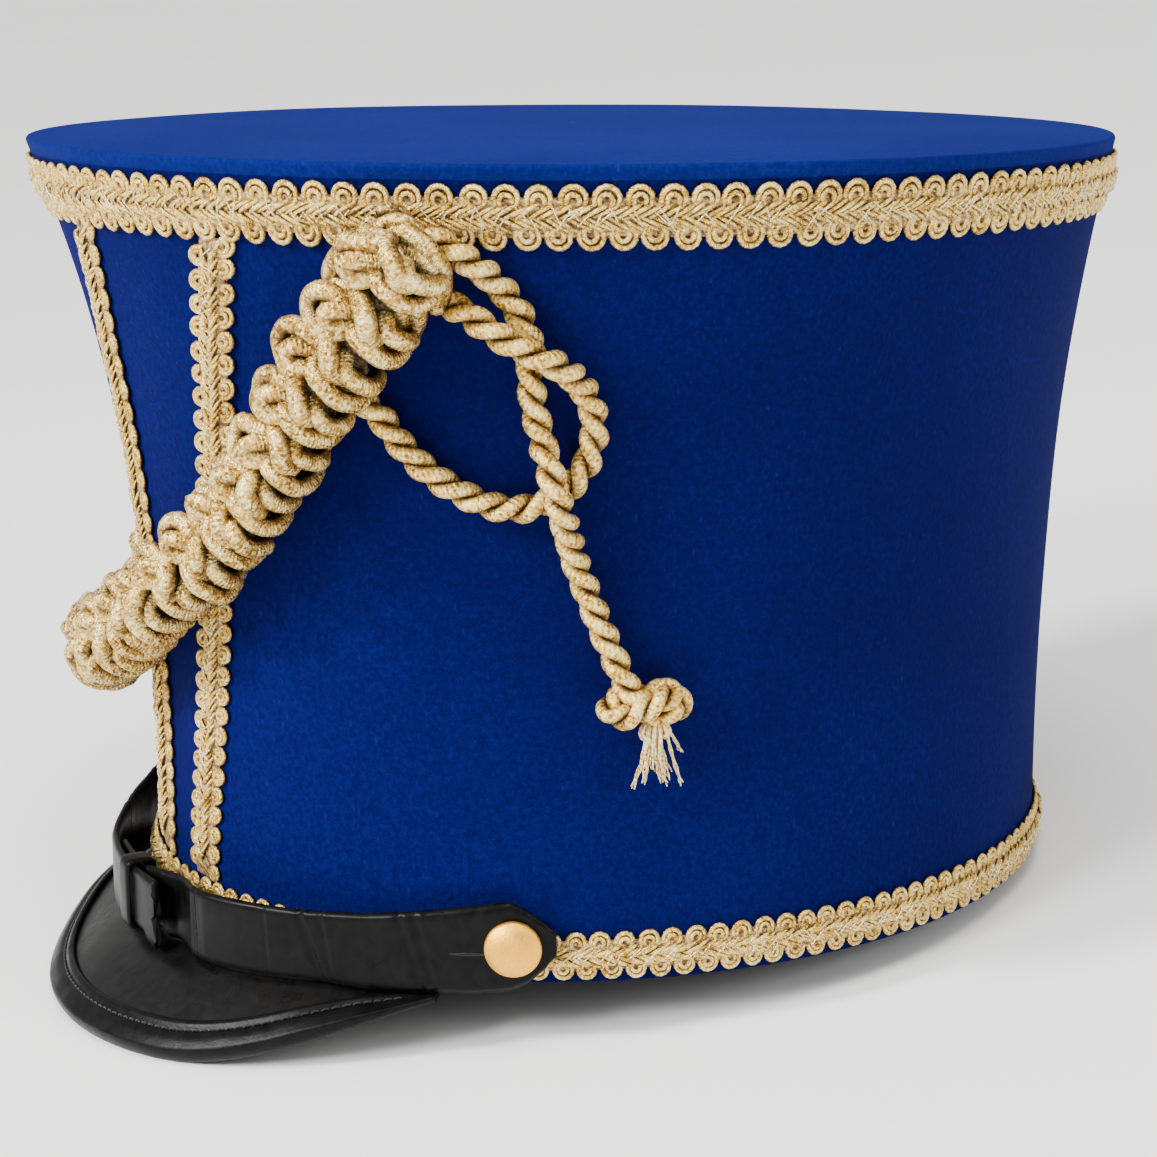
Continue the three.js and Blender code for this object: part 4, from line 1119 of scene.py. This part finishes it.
def make_button(side):
    """A domed button with a rolled rim."""
    deg = side * BUTTON_AT
    out = outward(deg, 0.0)
    across = np.cross(UP, out)
    seat = off_rim(deg, STRAP_SEAT + STRAP_LEATHER / 2 + GAP * 0.3)
    seat[2] = BUTTON_LEVEL
    r = BUTTON_DIAMETER / 2
    t = np.linspace(0, 2 * math.pi, 72, endpoint=False)[:, None]
    ring = across * np.cos(t) + UP * np.sin(t)
    points = np.array([seat + out * (h * BUTTON_HEIGHT) + ring * (x * r) for x, h in BUTTON_OUTLINE])
    from_middle = np.array([x * r for x, _ in BUTTON_OUTLINE])
    soup = Soup()
    soup.grid(points, flat_pairs(np.linspace(0, 35, 73)[None], from_middle[:, None]), wrap=True)
    name = "left" if side > 0 else "right"
    soup.piece(f"brass_{name}", [BRASS], "button", f"button_{name}")


# Stage

# Half the floor's side, in metres, and its rows of points.
FLOOR_HALF, FLOOR_ROWS = 12.0, 40
WORLD_COLOUR, WORLD_STRENGTH = (1.0, 0.985, 0.96, 1), 0.74
# What the sun and most lamps are aimed at.
AIM = (0, 0, 0.08)
SUN_PLACE, SUN_ENERGY, SUN_ANGLE = (-0.35, -1.5, 1.25), 3.9, 9
# Each lamp's name, place, aim, size and power.
LAMPS = [
    ("key", (0.3, -1.5, 1.1), AIM, (0.5, 0.5), 34),
    ("fill", (1.7, 0.9, 0.9), AIM, (0.7, 0.7), 12),
    ("top", (0.5, -0.1, 1.6), (0, 0, 0.12), (0.7, 0.5), 17),
]


def make_floor():
    n = FLOOR_ROWS
    line = np.linspace(-1, 1, n)
    line = np.sign(line) * line**2 * FLOOR_HALF
    points = [(x, y, 0) for x in line for y in line]
    faces = [(i * n + j, (i + 1) * n + j, (i + 1) * n + j + 1, i * n + j + 1)
             for i in range(n - 1) for j in range(n - 1)]
    mesh = bpy.data.meshes.new("floor")
    mesh.from_pydata(points, [], faces)
    m = Shader("pale_floor", Roughness=0.9, Specular_IOR_Level=0.1)
    tone = m.ramp(m.noise(m.place(), 3.0, 2), (0.3, (0.93, 0.93, 0.93)), (0.7, (0.95, 0.95, 0.95)))
    mesh.materials.append(m.set(Base_Color=tone))
    in_scene("floor", mesh)


def make_lights():
    world = bpy.data.worlds.new("studio")
    bpy.context.scene.world = world
    world.use_nodes = True
    back = world.node_tree.nodes["Background"]
    back.inputs["Color"].default_value = WORLD_COLOUR
    back.inputs["Strength"].default_value = WORLD_STRENGTH
    sun = bpy.data.lights.new("sun", "SUN")
    sun.energy, sun.angle = SUN_ENERGY, math.radians(SUN_ANGLE)
    aimed("sun", sun, SUN_PLACE, AIM)
    for name, place, aim, size, power in LAMPS:
        lamp = bpy.data.lights.new(name, "AREA")
        lamp.shape = "RECTANGLE"
        lamp.size, lamp.size_y = size
        lamp.energy = power
        aimed(name, lamp, place, aim)


make_camera()
knot, fray = make_knot(), make_fray()
make_cord("cord_bight", LOOP_START + LOOP_ROUTE + LOOP_END, "cord_loop", far_end="object")
make_cord("cord_end", TAIL_START + TAIL_ROUTE + TAIL_END, "cord_tail", far_end="knot",
          with_pieces=[knot, fray])
make_crown()
make_top()
for name, node, ring, pitch, cord in (
        ("gimp_braid_top", "gimp_top", (GIMP_TOP_LOW, GIMP_TOP_WIDTH), 5.8, 0.56),
        ("gimp_braid_rim", "gimp_rim", (GIMP_RIM_LIFT, GIMP_RIM_WIDTH), 4.8, 0.5)):
    make_gimp(name, node, *ring_place(*ring), pitch, ring[1], cord, True)
for name, node, rows in (("gimp_braid_left", "gimp_front_left", STRIP_LEFT),
                         ("gimp_braid_right", "gimp_front_right", STRIP_RIGHT)):
    make_gimp(name, node, *strip_place(rows), 4.72, GIMP_FRONT_WIDTH, 0.5, False, -0.09)
make_swag()
make_visor()
make_binding()
make_stitches()
make_strap("strap_left", STRAP_LEFT, "chin_strap_left", CREASES, False)
mirrored = [(-at, depth, width, -slant) for at, depth, width, slant in CREASES[2:]]
make_strap("strap_right", STRAP_RIGHT, "chin_strap_right", mirrored, True)
make_keeper()
for side in (1, -1):
    make_button(side)
    make_slit(side)
make_floor()
make_lights()
